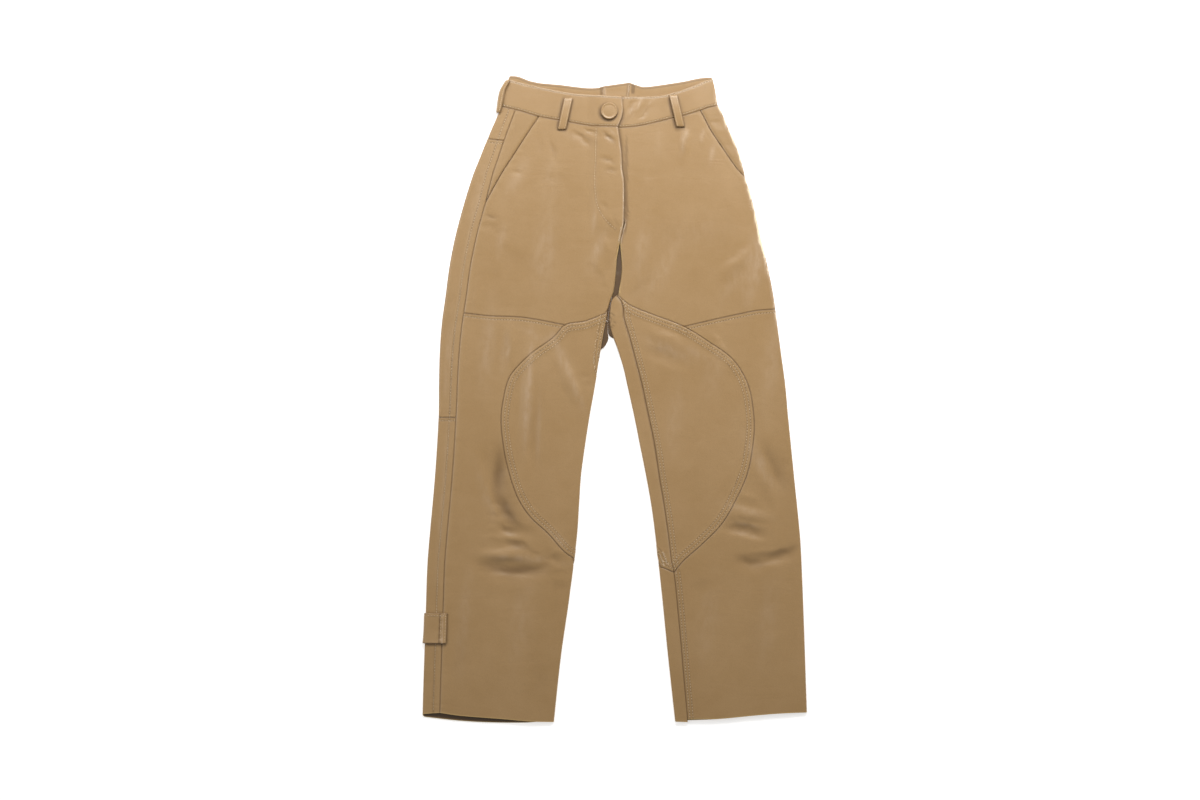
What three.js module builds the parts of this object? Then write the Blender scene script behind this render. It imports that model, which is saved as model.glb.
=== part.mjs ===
// Leather trousers lying flat, front up, in millimetres. X runs to the wearer's left, Y to the waist, Z up.
// Each half is a flattened tube. A spot on it is w, a way round the tube, and y, a way along it.
// w is 0 at the outer fold, above 0 on the front that lies on top, and below 0 on the back underneath.
import * as THREE from 'three';

const leather = 1.5; // thickness of one layer of leather
const doubled = 2.2; // thickness of the waistband, two skived layers
const foldRadius = 2.5; // outside radius where a tube turns at its side
const foldSpan = 24; // how much of w a quarter turn takes, so that it gets enough facets
const loft = 1.5; // how far the front rises over the height of the folds
const loftWidth = 38; // how far from a fold the front reaches its full height
const seamGap = 0.3; // between two sewn pieces
const lap = { height: 2.6, fromX: -42, width: 22, toY: 238, length: 30 }; // the right front's rise at the fly
const crotchTop = 235; // the y where the fly ends and the legs start to part
const crotchEnd = 188; // the y where the fronts have turned down between the legs
const forkY = 70; // the y below which the left leg's back turns up round its inner fold
const upFrom = 18; // how far past the inner fold, above the fork, the stretch that comes up round it starts
const sink = 0.7; // how far a pocket facing lies below the pocket's edge
const centreX = 0.76; // the middle of the outline
const centreY = -0.88;

function table(columns, rows) {
  return rows.map((row) => Object.fromEntries(row.map((value, k) => [columns[k], value])));
}

function seam(rows) {
  return table(['layer', 'x', 'y'], rows);
}

// The x of each outer fold, from the waistband's top to the hem.
const outerFold = table(['y', 'right', 'left'], [
  [486, -158, 145.5], [475, -160, 148], [461.5, -166, 151], [441.5, -170, 154.5], [430, -173, 160.5],
  [404.5, -184, 171], [380.5, -194, 182], [358, -203, 190], [335.5, -212, 196], [290.5, -226, 208],
  [245.5, -238, 218], [200.5, -247, 229], [155.5, -253, 238], [110.5, -259, 244], [65.5, -262, 250],
  [20.5, -263, 256], [-24.5, -263.5, 260], [-114.5, -269, 269], [-204.5, -277, 278], [-249.5, -280.5, 280.5],
  [-339.5, -283.5, 284], [-429.5, -286.5, 287], [-486, -288, 289],
]);

// The x of each inner fold. It starts as a crease below the fly, and the legs part at the fork.
const innerFold = table(['y', 'right', 'left'], [
  [235, 10.5, 6], [211, 4, 10], [188, 2, 10.5], [160, -1.6, 5], [148, -6.2, -3.6], [133, -10.4, -6.6],
  [113.5, -13, -7], [98, -16, -4], [86.5, -18, 0], [73, -20.5, 5], [47, -25.5, 13], [20.5, -29, 19],
  [-24.5, -37, 29], [-69.5, -44, 38], [-114.5, -50, 47], [-159.5, -53, 55], [-204.5, -56, 61],
  [-294.5, -67, 71], [-384.5, -80, 80], [-486, -91, 91],
]);

// How far the outseam lies from the outer fold, on top on the right half and underneath on the left.
const outseam = table(['y', 'inset'], [[433, 23], [293.5, 32], [128.5, 31], [-28, 26], [-486, 26]]);

// How far the left leg's front and back have turned down where they meet the crease, in degrees.
const creaseTurn = table(['y', 'front', 'back'], [
  [235, 0, 90], [211, 60, 90], [188, 90, 90], [173, 84, 80], [158.5, 22, 22], [148, 22, 88],
  [130, 22, 90], [58, 22, 90],
]);

// How far the right leg's front has turned at its inner edge, in degrees, and then runs on underneath.
const innerTurn = table(['y', 'turn', 'under'], [
  [235, 0, 0], [211, 60, 0], [188, 90, 0], [130, 92, 0], [70, 98, 0], [52, 180, 0.5], [45, 180, 2],
  [-10, 180, 18], [-120, 180, 20], [-486, 180, 20],
]);

// Edges and seams. Each is a run of points on top, underneath or at the outer fold, named by its layer.
const waistTop = {
  right: seam([
    ['under', -16.5, 468.5], ['under', -26, 466], ['under', -44, 466], ['under', -82, 470.5],
    ['under', -110, 473], ['under', -127, 476.5], ['under', -148, 483.5], ['fold', 0, 482],
    ['over', -152, 477], ['over', -127, 470.5], ['over', -68, 458.5], ['over', -35, 455.5],
    ['over', 11, 452.5],
  ]),
  left: seam([
    ['under', 22.5, 474], ['under', 32, 470.5], ['under', 43, 467.5], ['under', 61, 469],
    ['under', 101, 475], ['under', 133, 481], ['fold', 0, 480.5], ['over', 138, 477.5],
    ['over', 122, 470.5], ['over', 92, 460], ['over', 67, 454], ['over', 11, 452.5], ['over', -14, 452.3],
  ]),
};
const waistSeam = {
  right: seam([
    ['under', 3, 424], ['under', -16.5, 424], ['under', -60, 424.5], ['under', -110, 429],
    ['under', -152, 437], ['fold', 0, 441], ['over', -149, 433], ['over', -113, 422.5],
    ['over', -72, 415], ['over', -35, 408.5], ['over', 5, 407],
  ]),
  left: seam([
    ['under', 3, 424], ['under', 22.5, 424], ['under', 60, 425], ['under', 101, 431],
    ['under', 133, 439], ['fold', 0, 441], ['over', 144, 437], ['over', 128, 431.5], ['over', 104, 424],
    ['over', 91, 421], ['over', 40, 409], ['over', 10, 406], ['over', -20, 406.5],
  ]),
};
const yokeSeam = {
  right: seam([
    ['under', 3, 352], ['under', -60, 360], ['under', -120, 374], ['under', -175, 388], ['fold', 0, 391],
  ]),
  left: seam([['under', 3, 352], ['under', 60, 360], ['under', 110, 374], ['under', 136, 381.5]]),
};

// The front's free edge at the fly. The left front has an underlap that ends before the crotch seam.
const flyEdge = {
  right: seam([
    ['over', 5, 407], ['over', 10, 370], ['over', 11, 347.5], ['over', 14, 325], ['over', 14, 268],
    ['over', 12, 253], ['over', 8, 235],
  ]),
  left: seam([
    ['over', -20, 406.5], ['over', -14, 370], ['over', -11, 325], ['over', -11, 277], ['over', 14, 266],
    ['over', 12, 253], ['over', 8, 235],
  ]),
};
const bandEnd = {
  right: seam([['over', 11, 452.5], ['over', 11, 422.5], ['over', 5, 407]]),
  left: seam([['over', -14, 452.3], ['over', -20, 406.5]]),
};
const slant = {
  right: seam([['over', -113, 422.5]]),
  left: seam([['over', 128, 431.5], ['over', 157, 382], ['over', 190, 337], ['fold', 0, 318]]),
};
const thighSeam = {
  right: seam([
    ['over', -187, 124], ['over', -146, 122.5], ['over', -119, 119], ['over', -74, 110.5],
  ]),
  left: seam([
    ['fold', 0, 134], ['over', 217, 132.5], ['over', 188, 127], ['over', 151, 119],
    ['over', 104, 108],
  ]),
};

// The curved seams of the inner-leg patches on the front, from below the crotch round to the inseam.
const frontPatch = {
  right: seam([
    ['over', -43, 116.5], ['over', -74, 110.5], ['over', -91, 92.5], ['over', -124, 68.5],
    ['over', -146, 47.5], ['over', -158, 31], ['over', -166, 2.5], ['over', -170, -29],
    ['over', -167, -66.5], ['over', -161, -99.5], ['over', -146, -146], ['over', -127, -176],
    ['over', -100, -201.5], ['over', -66, -236],
  ]),
  left: seam([
    ['over', 23, 140.5], ['over', 55, 127], ['over', 104, 108], ['over', 146, 82], ['over', 178, 58],
    ['over', 200, 20.5], ['over', 208.5, -25], ['over', 206, -62], ['over', 200, -114.5], ['over', 184, -149],
    ['over', 161, -188], ['over', 131, -218], ['over', 104, -242],
  ]),
};
const backPatch = {
  right: seam([
    ['under', -10, 118], ['under', -60, 104], ['under', -120, 80], ['under', -175, 50], ['under', -203, 20],
    ['under', -210, -28], ['under', -205, -66], ['under', -195, -112], ['under', -170, -155],
    ['under', -145, -190], ['under', -118, -220],
  ]),
  left: seam([
    ['under', -10, 118], ['under', 50, 104], ['under', 95, 84], ['under', 137, 58], ['under', 159, 20.5],
    ['under', 166, -28], ['under', 163, -62], ['under', 160, -112], ['under', 145, -149],
    ['under', 122, -188], ['under', 92, -218],
  ]),
};
const centreBack = seam([
  ['under', 3, 424], ['under', 3, 352], ['under', 2, 235], ['under', -1, 180], ['under', -4.9, 148],
  ['under', -8.5, 130], ['under', -10, 118],
]);

// Where the backs part at the fork, from the end of the centre seam down to the inseam.
const fork = {
  right: seam([
    ['under', -10, 118], ['under', -10, 98], ['under', -9, 90], ['under', -15, 78], ['under', -25, 70],
    ['under', -27.3, 60],
  ]),
  left: seam([
    ['under', -10, 118], ['under', -9.4, 98], ['under', -6, 93], ['under', 1.5, 88], ['under', 5, 80],
    ['under', 8.7, 70],
  ]),
};
const inseamLeft = seam([
  ['over', 10, 146.5], ['over', 13.5, 134.5], ['over', 14.5, 121], ['over', 22, 95.5], ['over', 32, 58],
  ['over', 47, -5], ['over', 59, -62], ['over', 68, -120.5], ['over', 73.5, -153.5], ['over', 85, -242],
  ['over', 89, -260], ['over', 97, -338], ['over', 103, -407], ['over', 109.5, -480],
]);
const frontHem = {
  right: seam([
    ['over', -230, -474.5], ['over', -173, -479], ['over', -115, -483.5],
  ]),
  left: seam([
    ['fold', 0, -469.5], ['over', 250, -471], ['over', 200, -475],
    ['over', 158, -479], ['over', 109.5, -480],
  ]),
};
const backHem = {
  right: seam([
    ['under', -134, -485.5], ['under', -191, -485], ['under', -239, -482], ['fold', 0, -474],
  ]),
  left: seam([
    ['under', 110, -482], ['under', 158, -480], ['under', 220, -474],
  ]),
};

// Soft folds: a ridge or a trough with its middle, direction, half length, half width and height.
const folds = table(['x', 'y', 'angle', 'length', 'width', 'height'], [
  [-173, -130, -70, 75, 20, -2.2],
  [-150, -196, -14, 40, 14, -2],
  [-165, -232, 4, 52, 13, 2],
  [-155, -252, -6, 66, 16, -2.6],
  [-84, -242, -30, 34, 12, -1.4],
  [-131, 0, 86, 110, 13, 1.8],
  [-119, -40, 88, 90, 11, -1.6],
  [-65, 19, -66, 62, 13, 1.6],
  [78, 90, -25, 60, 15, 1.8],
  [74, 62, -20, 58, 14, -1.6],
  [240, -110, -68, 62, 17, -1.8],
  [200, -172, -12, 44, 12, 1.6],
  [194, -197, -13, 46, 12, -1.8],
  [226, -239, 6, 50, 13, -2.2],
  [105, 380, 84, 32, 10, 1],
  [186, 205, 40, 52, 15, 1],
]);

const loopWidth = 13; // belt loops
const loopLayer = 1.6;
const loopSlack = 2;
const loopSeat = 0.4;
const frontLoops = table(['side', 'topX', 'topY', 'bottomX', 'bottomY'], [
  ['right', -69, 449, -78.5, 405], ['left', 88, 453, 99, 406],
]);
const sideLoop = { topY: 476, bottomY: 429, turn: [-18, 92], slack: 3, seat: 1 }; // turn is in degrees
const button = { x: -8, y: 430, radius: 12.4, height: 4.2, round: 1.8, foot: 11.4 };
const tab = { inset: 33, topY: -321, bottomY: -366, turn: -26, layer: 2.2 };

const rightHalf = half('right', 1);
const leftHalf = half('left', -1);

// A value read from a table: a cubic between two rows, its slopes taken from the rows beside them.
function reader(rows, key, column) {
  const sorted = [...rows].sort((a, b) => a[key] - b[key]);
  const at = sorted.map((row) => row[key]);
  const value = sorted.map((row) => row[column]);
  const last = at.length - 1;
  const slope = at.map((_, k) => {
    const before = Math.max(k - 1, 0);
    const after = Math.min(k + 1, last);
    return (value[after] - value[before]) / (at[after] - at[before]);
  });
  return (t) => {
    let k = 0;
    while (k < last - 1 && t > at[k + 1]) k += 1;
    const step = at[k + 1] - at[k];
    const f = THREE.MathUtils.clamp((t - at[k]) / step, 0, 1);
    const bend = f * f * (3 - 2 * f);
    return value[k] * (1 - bend) + value[k + 1] * bend
      + step * f * (1 - f) * ((1 - f) * slope[k] - f * slope[k + 1]);
  };
}

// The same, but straight between the rows.
function straight(rows, key, column) {
  return (t) => {
    const after = Math.max(rows.findIndex((row) => row[key] < t), 1);
    const [a, b] = after < rows.length ? [rows[after - 1], rows[after]] : rows.slice(-2);
    return THREE.MathUtils.mapLinear(t, a[key], b[key], a[column], b[column]);
  };
}

// Points spaced evenly along a smooth curve through some of the given points.
function along(points, count, from = 0, to = points.length - 1) {
  let length = 0;
  const rows = points.map((point, k) => {
    if (k > 0) length += Math.hypot(point.w - points[k - 1].w, point.y - points[k - 1].y);
    return { ...point, length };
  });
  const w = reader(rows, 'length', 'w');
  const y = reader(rows, 'length', 'y');
  return Array.from({ length: count + 1 }, (_, k) => {
    const t = THREE.MathUtils.lerp(rows[from].length, rows[to].length, k / count);
    return { w: w(t), y: y(t) };
  });
}

function half(side, sign) {
  return { sign, outer: reader(outerFold, 'y', side), inner: reader(innerFold, 'y', side) };
}

function flatWidth(tube, y) {
  return Math.abs(tube.inner(y) - tube.outer(y)) - 2 * foldRadius;
}

// The spot at a given x on top or underneath, or at the outer fold.
function spot(tube, { layer, x, y }) {
  const inward = foldSpan + (x - tube.outer(y)) * tube.sign - foldRadius;
  return { w: { over: inward, under: -inward, fold: 0 }[layer], y };
}

function spots(tube, rows) {
  return rows.map((row) => spot(tube, row));
}

function smoothStep(t) {
  const f = THREE.MathUtils.clamp(t, 0, 1);
  return f * f * (3 - 2 * f);
}

// The height of the front over the folds: its loft, the lap of the fly, and the soft folds.
function rise(tube, cross, x, y) {
  const inward = THREE.MathUtils.clamp((crotchTop - y) / (crotchTop - crotchEnd), 0, 1);
  const toInner = flatWidth(tube, y) + foldRadius - cross;
  const outerFade = smoothStep((cross - foldRadius) / loftWidth);
  const innerFade = THREE.MathUtils.lerp(1, smoothStep(toInner / loftWidth), smoothStep(inward));
  let height = loft;
  for (const fold of folds) {
    const c = Math.cos(THREE.MathUtils.degToRad(fold.angle));
    const s = Math.sin(THREE.MathUtils.degToRad(fold.angle));
    const down = ((x - fold.x) * c + (y - fold.y) * s) / fold.length;
    const across = ((y - fold.y) * c - (x - fold.x) * s) / fold.width;
    if (Math.abs(down) < 1 && Math.abs(across) < 1) {
      height += fold.height * (1 - down * down) ** 2 * (1 - across * across) ** 2;
    }
  }
  const lapped = smoothStep((x - lap.fromX) / lap.width) * smoothStep((y - lap.toY) / lap.length);
  return height * outerFade * innerFade + (tube.sign > 0 ? lap.height * lapped : 0);
}

// Whether a spot named from the back lies on the stretch that comes up round the inner fold.
function turnsUp(tube, w, y) {
  const past = -w - foldSpan - flatWidth(tube, y);
  return y < crotchEnd && past > (y < forkY ? 0 : upFrom);
}

// The place of a spot, moved out from the leather's outside by n.
function place(tube, w, y, n = 0) {
  const flat = flatWidth(tube, y);
  const end = 2 * foldSpan + flat;
  const way = turnsUp(tube, w, y) ? w + 2 * end : w;
  const radius = foldRadius + n;
  let cross;
  let z;
  if (way <= -foldSpan) {
    cross = foldRadius - way - foldSpan;
    z = -n;
  } else if (way < foldSpan) {
    const turn = (way / foldSpan) * (Math.PI / 2);
    cross = foldRadius - radius * Math.cos(turn);
    z = foldRadius + radius * Math.sin(turn);
  } else if (way <= foldSpan + flat || y > crotchTop) {
    cross = foldRadius + way - foldSpan;
    z = 2 * foldRadius + n + rise(tube, cross, tube.outer(y) + tube.sign * cross, y);
  } else if (way < 3 * foldSpan + flat) {
    const turn = ((way - foldSpan - flat) / foldSpan) * (Math.PI / 2);
    cross = foldRadius + flat + radius * Math.sin(turn);
    z = foldRadius + radius * Math.cos(turn);
  } else {
    cross = foldRadius + flat - (way - 3 * foldSpan - flat);
    z = -n;
  }
  return new THREE.Vector3(tube.outer(y) + tube.sign * cross - centreX, y - centreY, z);
}

// A grid of spots that blends four edges. Rows run from top to bottom and columns from left to right.
function patch(top, bottom, left, right) {
  const columns = top.length - 1;
  const rows = left.length - 1;
  const blend = (key, i, j) => {
    const u = i / columns;
    const v = j / rows;
    const edges = (1 - v) * top[i][key] + v * bottom[i][key] + (1 - u) * left[j][key] + u * right[j][key];
    const corners = (1 - v) * ((1 - u) * top[0][key] + u * top[columns][key])
      + v * ((1 - u) * bottom[0][key] + u * bottom[columns][key]);
    return edges - corners;
  };
  return left.map((_, j) => top.map((__, i) => ({ w: blend('w', i, j), y: blend('y', i, j) })));
}

// A closed wall on one grid, or on several that share edges. Its rim keeps half a seam's gap inside them.
function wall(tube, grids, { out = () => 0, layer = leather, gap = seamGap / 2 } = {}) {
  const spotList = [];
  const known = new Map();
  const indexOf = (spot, u, v) => {
    const key = `${spot.w.toFixed(3)},${spot.y.toFixed(3)}`;
    if (!known.has(key)) {
      known.set(key, spotList.length);
      spotList.push({ w: spot.w, y: spot.y, n: out(u, v) });
    }
    return known.get(key);
  };
  let faces = [];
  for (const grid of grids) {
    const rows = grid.length - 1;
    const columns = grid[0].length - 1;
    const index = grid.map((row, j) => row.map((spot, i) => indexOf(spot, i / columns, j / rows)));
    for (let j = 0; j < rows; j += 1) {
      for (let i = 0; i < columns; i += 1) {
        const corners = [index[j][i], index[j + 1][i], index[j + 1][i + 1], index[j][i + 1]];
        faces.push(...halves(corners, spotList));
      }
    }
  }
  faces = faces.filter(([a, b, c]) => a !== b && b !== c && c !== a);
  const area = faces.reduce((sum, [a, b, c]) => sum + cross2(spotList[a], spotList[b], spotList[c]), 0);
  if (area * tube.sign < 0) faces = faces.map(([a, b, c]) => [a, c, b]);
  const rim = rimOf(faces);
  shrink(tube, spotList, rim, gap * tube.sign);
  const points = [];
  for (const { w, y, n } of spotList) points.push(place(tube, w, y, n));
  for (const { w, y, n } of spotList) points.push(place(tube, w, y, n - layer));
  const inside = spotList.length;
  const index = [];
  for (const [a, b, c] of faces) index.push(a, b, c, a + inside, c + inside, b + inside);
  for (const [a, b] of rim) index.push(b, a, a + inside, b, a + inside, b + inside);
  return solid(points, index);
}

// Cuts a four-sided cell along the diagonal that leaves its smaller triangle largest.
function halves([a, b, c, d], spotList) {
  const first = [[a, b, c], [a, c, d]];
  const second = [[b, c, d], [b, d, a]];
  const least = (pair) => {
    const areas = pair.map((face) => cross2(...face.map((k) => spotList[k])));
    const sign = Math.sign(areas[0] + areas[1]);
    return Math.min(...areas.map((area) => area * sign));
  };
  return least(first) >= least(second) ? first : second;
}

function cross2(a, b, c) {
  return (b.w - a.w) * (c.y - a.y) - (c.w - a.w) * (b.y - a.y);
}

// The edges that only one face uses, each in the direction of its face.
function rimOf(faces) {
  const edges = new Map();
  for (const [a, b, c] of faces) {
    for (const [from, to] of [[a, b], [b, c], [c, a]]) {
      if (!edges.delete(`${to},${from}`)) edges.set(`${from},${to}`, [from, to]);
    }
  }
  return [...edges.values()];
}

// How much real length one unit of w is: little where the tube turns, because w is spread out there.
function realPerW(tube, w, y) {
  const flat = flatWidth(tube, y);
  const way = turnsUp(tube, w, y) ? w + fullTurn(tube, y) : w;
  const turning = Math.abs(way) < foldSpan
    || (y < crotchTop && way > foldSpan + flat && way < 3 * foldSpan + flat);
  return turning ? ((foldRadius - leather / 2) * Math.PI) / (2 * foldSpan) : 1;
}

// Moves the spots of a rim inward, square to the rim's two edges there.
function shrink(tube, spotList, rim, distance) {
  const normals = new Map();
  for (const [from, to] of rim) {
    const [a, b] = [spotList[from], spotList[to]];
    const scale = realPerW(tube, (a.w + b.w) / 2, (a.y + b.y) / 2);
    const dw = (b.w - a.w) * scale;
    const dy = b.y - a.y;
    const length = Math.hypot(dw, dy);
    for (const end of [from, to]) {
      if (!normals.has(end)) normals.set(end, []);
      normals.get(end).push({ w: -dy / length, y: dw / length, scale });
    }
  }
  for (const [k, [first, second]] of normals) {
    const facing = Math.max(1 + first.w * second.w + first.y * second.y, 0.5);
    spotList[k].w += ((first.w / first.scale + second.w / second.scale) / facing) * distance;
    spotList[k].y += ((first.y + second.y) / facing) * distance;
  }
}

function solid(points, index) {
  const geometry = new THREE.BufferGeometry();
  geometry.setFromPoints(points);
  geometry.setIndex(index);
  geometry.computeVertexNormals();
  return geometry;
}

const tan = new THREE.MeshStandardMaterial({ color: 0xae8e66, roughness: 0.42, metalness: 0 });
const tanShade = new THREE.MeshStandardMaterial({ color: 0xa28259, roughness: 0.45, metalness: 0 });
const tanTrim = new THREE.MeshStandardMaterial({ color: 0xb4946b, roughness: 0.4, metalness: 0 });
const trousers = new THREE.Group();

const outseamInset = straight(outseam, 'y', 'inset');
const turnAt = {
  right: reader(innerTurn, 'y', 'turn'),
  left: reader(creaseTurn, 'y', 'front'),
  leftBack: reader(creaseTurn, 'y', 'back'),
};
const underAt = reader(innerTurn, 'y', 'under');
const hemY = { outseam: -470, inner: -484 };
const waistOutseam = { right: 6, left: 4 }; // the row of the waist seam where the outseam meets it
const waistPocket = 7; // the row where the pocket's edge begins, on both halves
const crossY = -28;
const splitY = { right: 45, left: 58 }; // the level of the fork, where the inseams start to run free
const yokeY = 386.5;
const slantEndY = { right: 293.5, left: 300 };
const thighY = { right: 128.5, left: 130 };
const patchTip = { right: -262, left: -260 };
const crotchY = { right: 135, left: 158.5 };
const patchStartY = 128; // where the right patch's seam comes out from under the fold
const belowPatch = 28; // from a patch's tip to the next level down the inseam
const stripDrop = 3; // how far below the crotch the left back's strip begins

// How many steps each run of points takes. Runs that two pieces share take the same number on both.
const steps = {
  pocket: 7, side: 7, thigh: 10, patchUpper: 8, patchLower: 20, shin: 7, hem: 10, outerThigh: 8,
  fork: 10, inseam: 18, seat: 4, seatSide: 2, backLower: 16, cross: 8, yoke: 6, yokeSide: 8,
  backThigh: [4, 5, 6], strip: 3, band: 26, bandSide: 3, loop: 6, tab: 12, round: 4, disc: 24,
};
const tubes = { right: rightHalf, left: leftHalf };

function fullTurn(tube, y) {
  return 2 * (2 * foldSpan + flatWidth(tube, y));
}

function levels(from, to, count, edge) {
  return Array.from({ length: count + 1 }, (_, k) => edge(THREE.MathUtils.lerp(from, to, k / count)));
}

function outseamEdge(side) {
  const tube = tubes[side];
  return (y) => ({ w: tube.sign * (foldSpan + outseamInset(y) - foldRadius), y });
}

// Where a front turns down into the crease, and on the right leg on under it.
function creaseEdge(side) {
  const tube = tubes[side];
  const turned = (y) => foldSpan + flatWidth(tube, y) + (foldSpan * turnAt[side](y)) / 90;
  return (y) => ({ w: turned(y) + (side === 'right' ? underAt(y) : 0), y });
}

// The inseam, hidden under the right leg and in sight on the left one.
function inseamEdge(side) {
  if (side === 'right') return creaseEdge('right');
  const start = creaseEdge('left')(crotchY.left);
  const w = reader([start, ...spots(leftHalf, inseamLeft)], 'y', 'w');
  return (y) => ({ w: w(y), y });
}

// An edge as the back meets it, from the other way round the tube.
function fromBack(side, edge) {
  return (y) => ({ w: edge(y).w - fullTurn(tubes[side], y), y });
}

// The seam of the front's inner-leg patch, from the crotch to the inseam.
function frontPatchSeam(side) {
  const inseam = inseamEdge(side);
  const start = [inseam(crotchY[side])];
  if (side === 'right') start.push({ w: inseam(patchStartY).w - foldSpan, y: patchStartY });
  const curve = [...start, ...spots(tubes[side], frontPatch[side]), inseam(patchTip[side])];
  return {
    upper: along(curve, steps.patchUpper, 0, 3),
    lower: along(curve, steps.patchLower, 3, curve.length - 1),
  };
}

function addFront(side) {
  const tube = tubes[side];
  const outer = outseamEdge(side);
  const crease = creaseEdge(side);
  const inseam = inseamEdge(side);
  const { upper, lower } = frontPatchSeam(side);
  const waist = spots(tube, waistSeam[side]);

  const pocketEdge = along([...spots(tube, slant[side]), outer(slantEndY[side])], steps.pocket);
  const outerEdge = levels(slantEndY[side], thighY[side], steps.side, outer).slice(1);
  const fly = along(spots(tube, flyEdge[side]), steps.pocket);
  const creaseSide = levels(crotchTop, crotchY[side], steps.side, crease).slice(1);
  const thigh = along([outer(thighY[side]), ...spots(tube, thighSeam[side])], steps.thigh);
  const bottom = [...thigh, ...[...upper].reverse().slice(1)];
  add(`front_thigh_${side}`, tan, wall(tube, [patch(
    along(waist, bottom.length - 1, waistPocket, waist.length - 1),
    bottom,
    [...pocketEdge, ...outerEdge],
    [...fly, ...creaseSide],
  )]));

  const facingSide = levels(waist[waistOutseam[side]].y, slantEndY[side], steps.pocket, outer);
  const tip = pocketEdge.at(-1);
  const facingTop = along(waist, side === 'right' ? 2 : 8, waistOutseam[side], waistPocket);
  const facing = patch(facingTop, facingTop.map(() => tip), facingSide, pocketEdge);
  add(`pocket_facing_${side}`, tanShade, wall(tube, [facing], { out: (u) => -sink * u, gap: seamGap }));

  const legInner = [...lower, ...levels(patchTip[side] - belowPatch, hemY.inner, steps.shin, inseam)];
  const legOuter = [
    ...levels(thighY[side], crossY, steps.outerThigh, outer),
    ...levels(crossY, hemY.outseam, legInner.length - 1 - steps.outerThigh, outer).slice(1),
  ];
  const hem = along([
    outer(hemY.outseam), ...spots(tube, frontHem[side]), ...(side === 'right' ? [inseam(hemY.inner)] : []),
  ], steps.hem);
  legInner[legInner.length - 1] = hem.at(-1);
  legOuter[legOuter.length - 1] = hem[0];
  add(`front_leg_${side}`, tan, wall(tube, [patch(thigh, hem, legOuter, legInner)]));

  const patchOuter = [...upper, ...lower.slice(1)];
  const patchInner = [
    ...levels(crotchY[side], splitY[side], steps.fork, inseam),
    ...levels(splitY[side], patchTip[side], steps.inseam, inseam).slice(1),
  ];
  const point = (spotThere) => Array(7).fill(spotThere);
  add(`knee_patch_${side}`, tanTrim, wall(tube, [
    patch(point(patchOuter[0]), point(patchOuter.at(-1)), patchOuter, patchInner),
  ], { gap: 1.5 * seamGap }));
}

// The seam of the back's inner-leg patch, from the centre seam to the inseam. The cross seam meets it.
function backPatchSeam(side) {
  const inseam = fromBack(side, inseamEdge(side));
  const curve = [...spots(tubes[side], backPatch[side]), inseam(patchTip[side])];
  return {
    seat: along(curve, steps.seat, 0, 3),
    upper: along(curve, steps.seatSide, 3, 5),
    lower: along(curve, steps.backLower, 5, curve.length - 1),
  };
}

// The back panels lie underneath. On the right half they come round the outer fold to the outseam on top.
function addBack(side) {
  const tube = tubes[side];
  const outer = outseamEdge(side);
  const inseam = fromBack(side, inseamEdge(side));
  const waist = spots(tube, waistSeam[side]);
  const { seat, upper, lower } = backPatchSeam(side);
  const cross = along([lower[0], outer(crossY)], steps.cross);
  const thighBottom = [...seat, ...upper.slice(1), ...cross.slice(1)];
  const yokeSpots = [...spots(tube, yokeSeam[side]), outer(yokeY)];
  const yoke = [
    ...along(yokeSpots, steps.yoke, 0, 3),
    ...along(yokeSpots, steps.yokeSide, 3, yokeSpots.length - 1).slice(1),
  ];
  const [upperSteps, middleSteps, lowerSteps] = steps.backThigh;
  const centre = spots(tube, centreBack);
  add(`back_yoke_${side}`, tan, wall(tube, [patch(
    along(waist, yoke.length - 1, 0, waistOutseam[side]), yoke,
    along(centre, 2, 0, 1), levels(waist[waistOutseam[side]].y, yokeY, 2, outer),
  )]));
  add(`back_thigh_${side}`, tan, wall(tube, [patch(
    yoke, thighBottom, along(centre, upperSteps + middleSteps + lowerSteps, 1, centre.length - 1),
    [
      ...levels(yokeY, outseam[1].y, upperSteps, outer),
      ...levels(outseam[1].y, outseam[2].y, middleSteps, outer).slice(1),
      ...levels(outseam[2].y, crossY, lowerSteps, outer).slice(1),
    ],
  )]));

  const legInner = [...lower, ...levels(patchTip[side] - belowPatch, hemY.inner, steps.shin, inseam)];
  const hem = along([inseam(hemY.inner), ...spots(tube, backHem[side]), outer(hemY.outseam)], steps.cross);
  const legOuter = levels(crossY, hemY.outseam, legInner.length - 1, outer);
  legInner[legInner.length - 1] = hem[0];
  legOuter[legOuter.length - 1] = hem.at(-1);
  add(`back_leg_${side}`, tan, wall(tube, [patch(cross, hem, legInner, legOuter)]));
}

function addRightBackPatch() {
  const tube = rightHalf;
  const inseam = fromBack('right', creaseEdge('right'));
  const { seat, upper, lower } = backPatchSeam('right');
  const curve = [...seat, ...upper.slice(1), ...lower.slice(1)];
  const forkEdge = along([...spots(tube, fork.right), inseam(splitY.right)], steps.seat);
  const inner = [...forkEdge, ...levels(splitY.right, patchTip.right, steps.inseam, inseam).slice(1)];
  const point = (spotThere) => Array(6).fill(spotThere);
  add('back_patch_right', tanTrim, wall(tube, [patch(point(curve[0]), point(curve.at(-1)), inner, curve)]));
}

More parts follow.
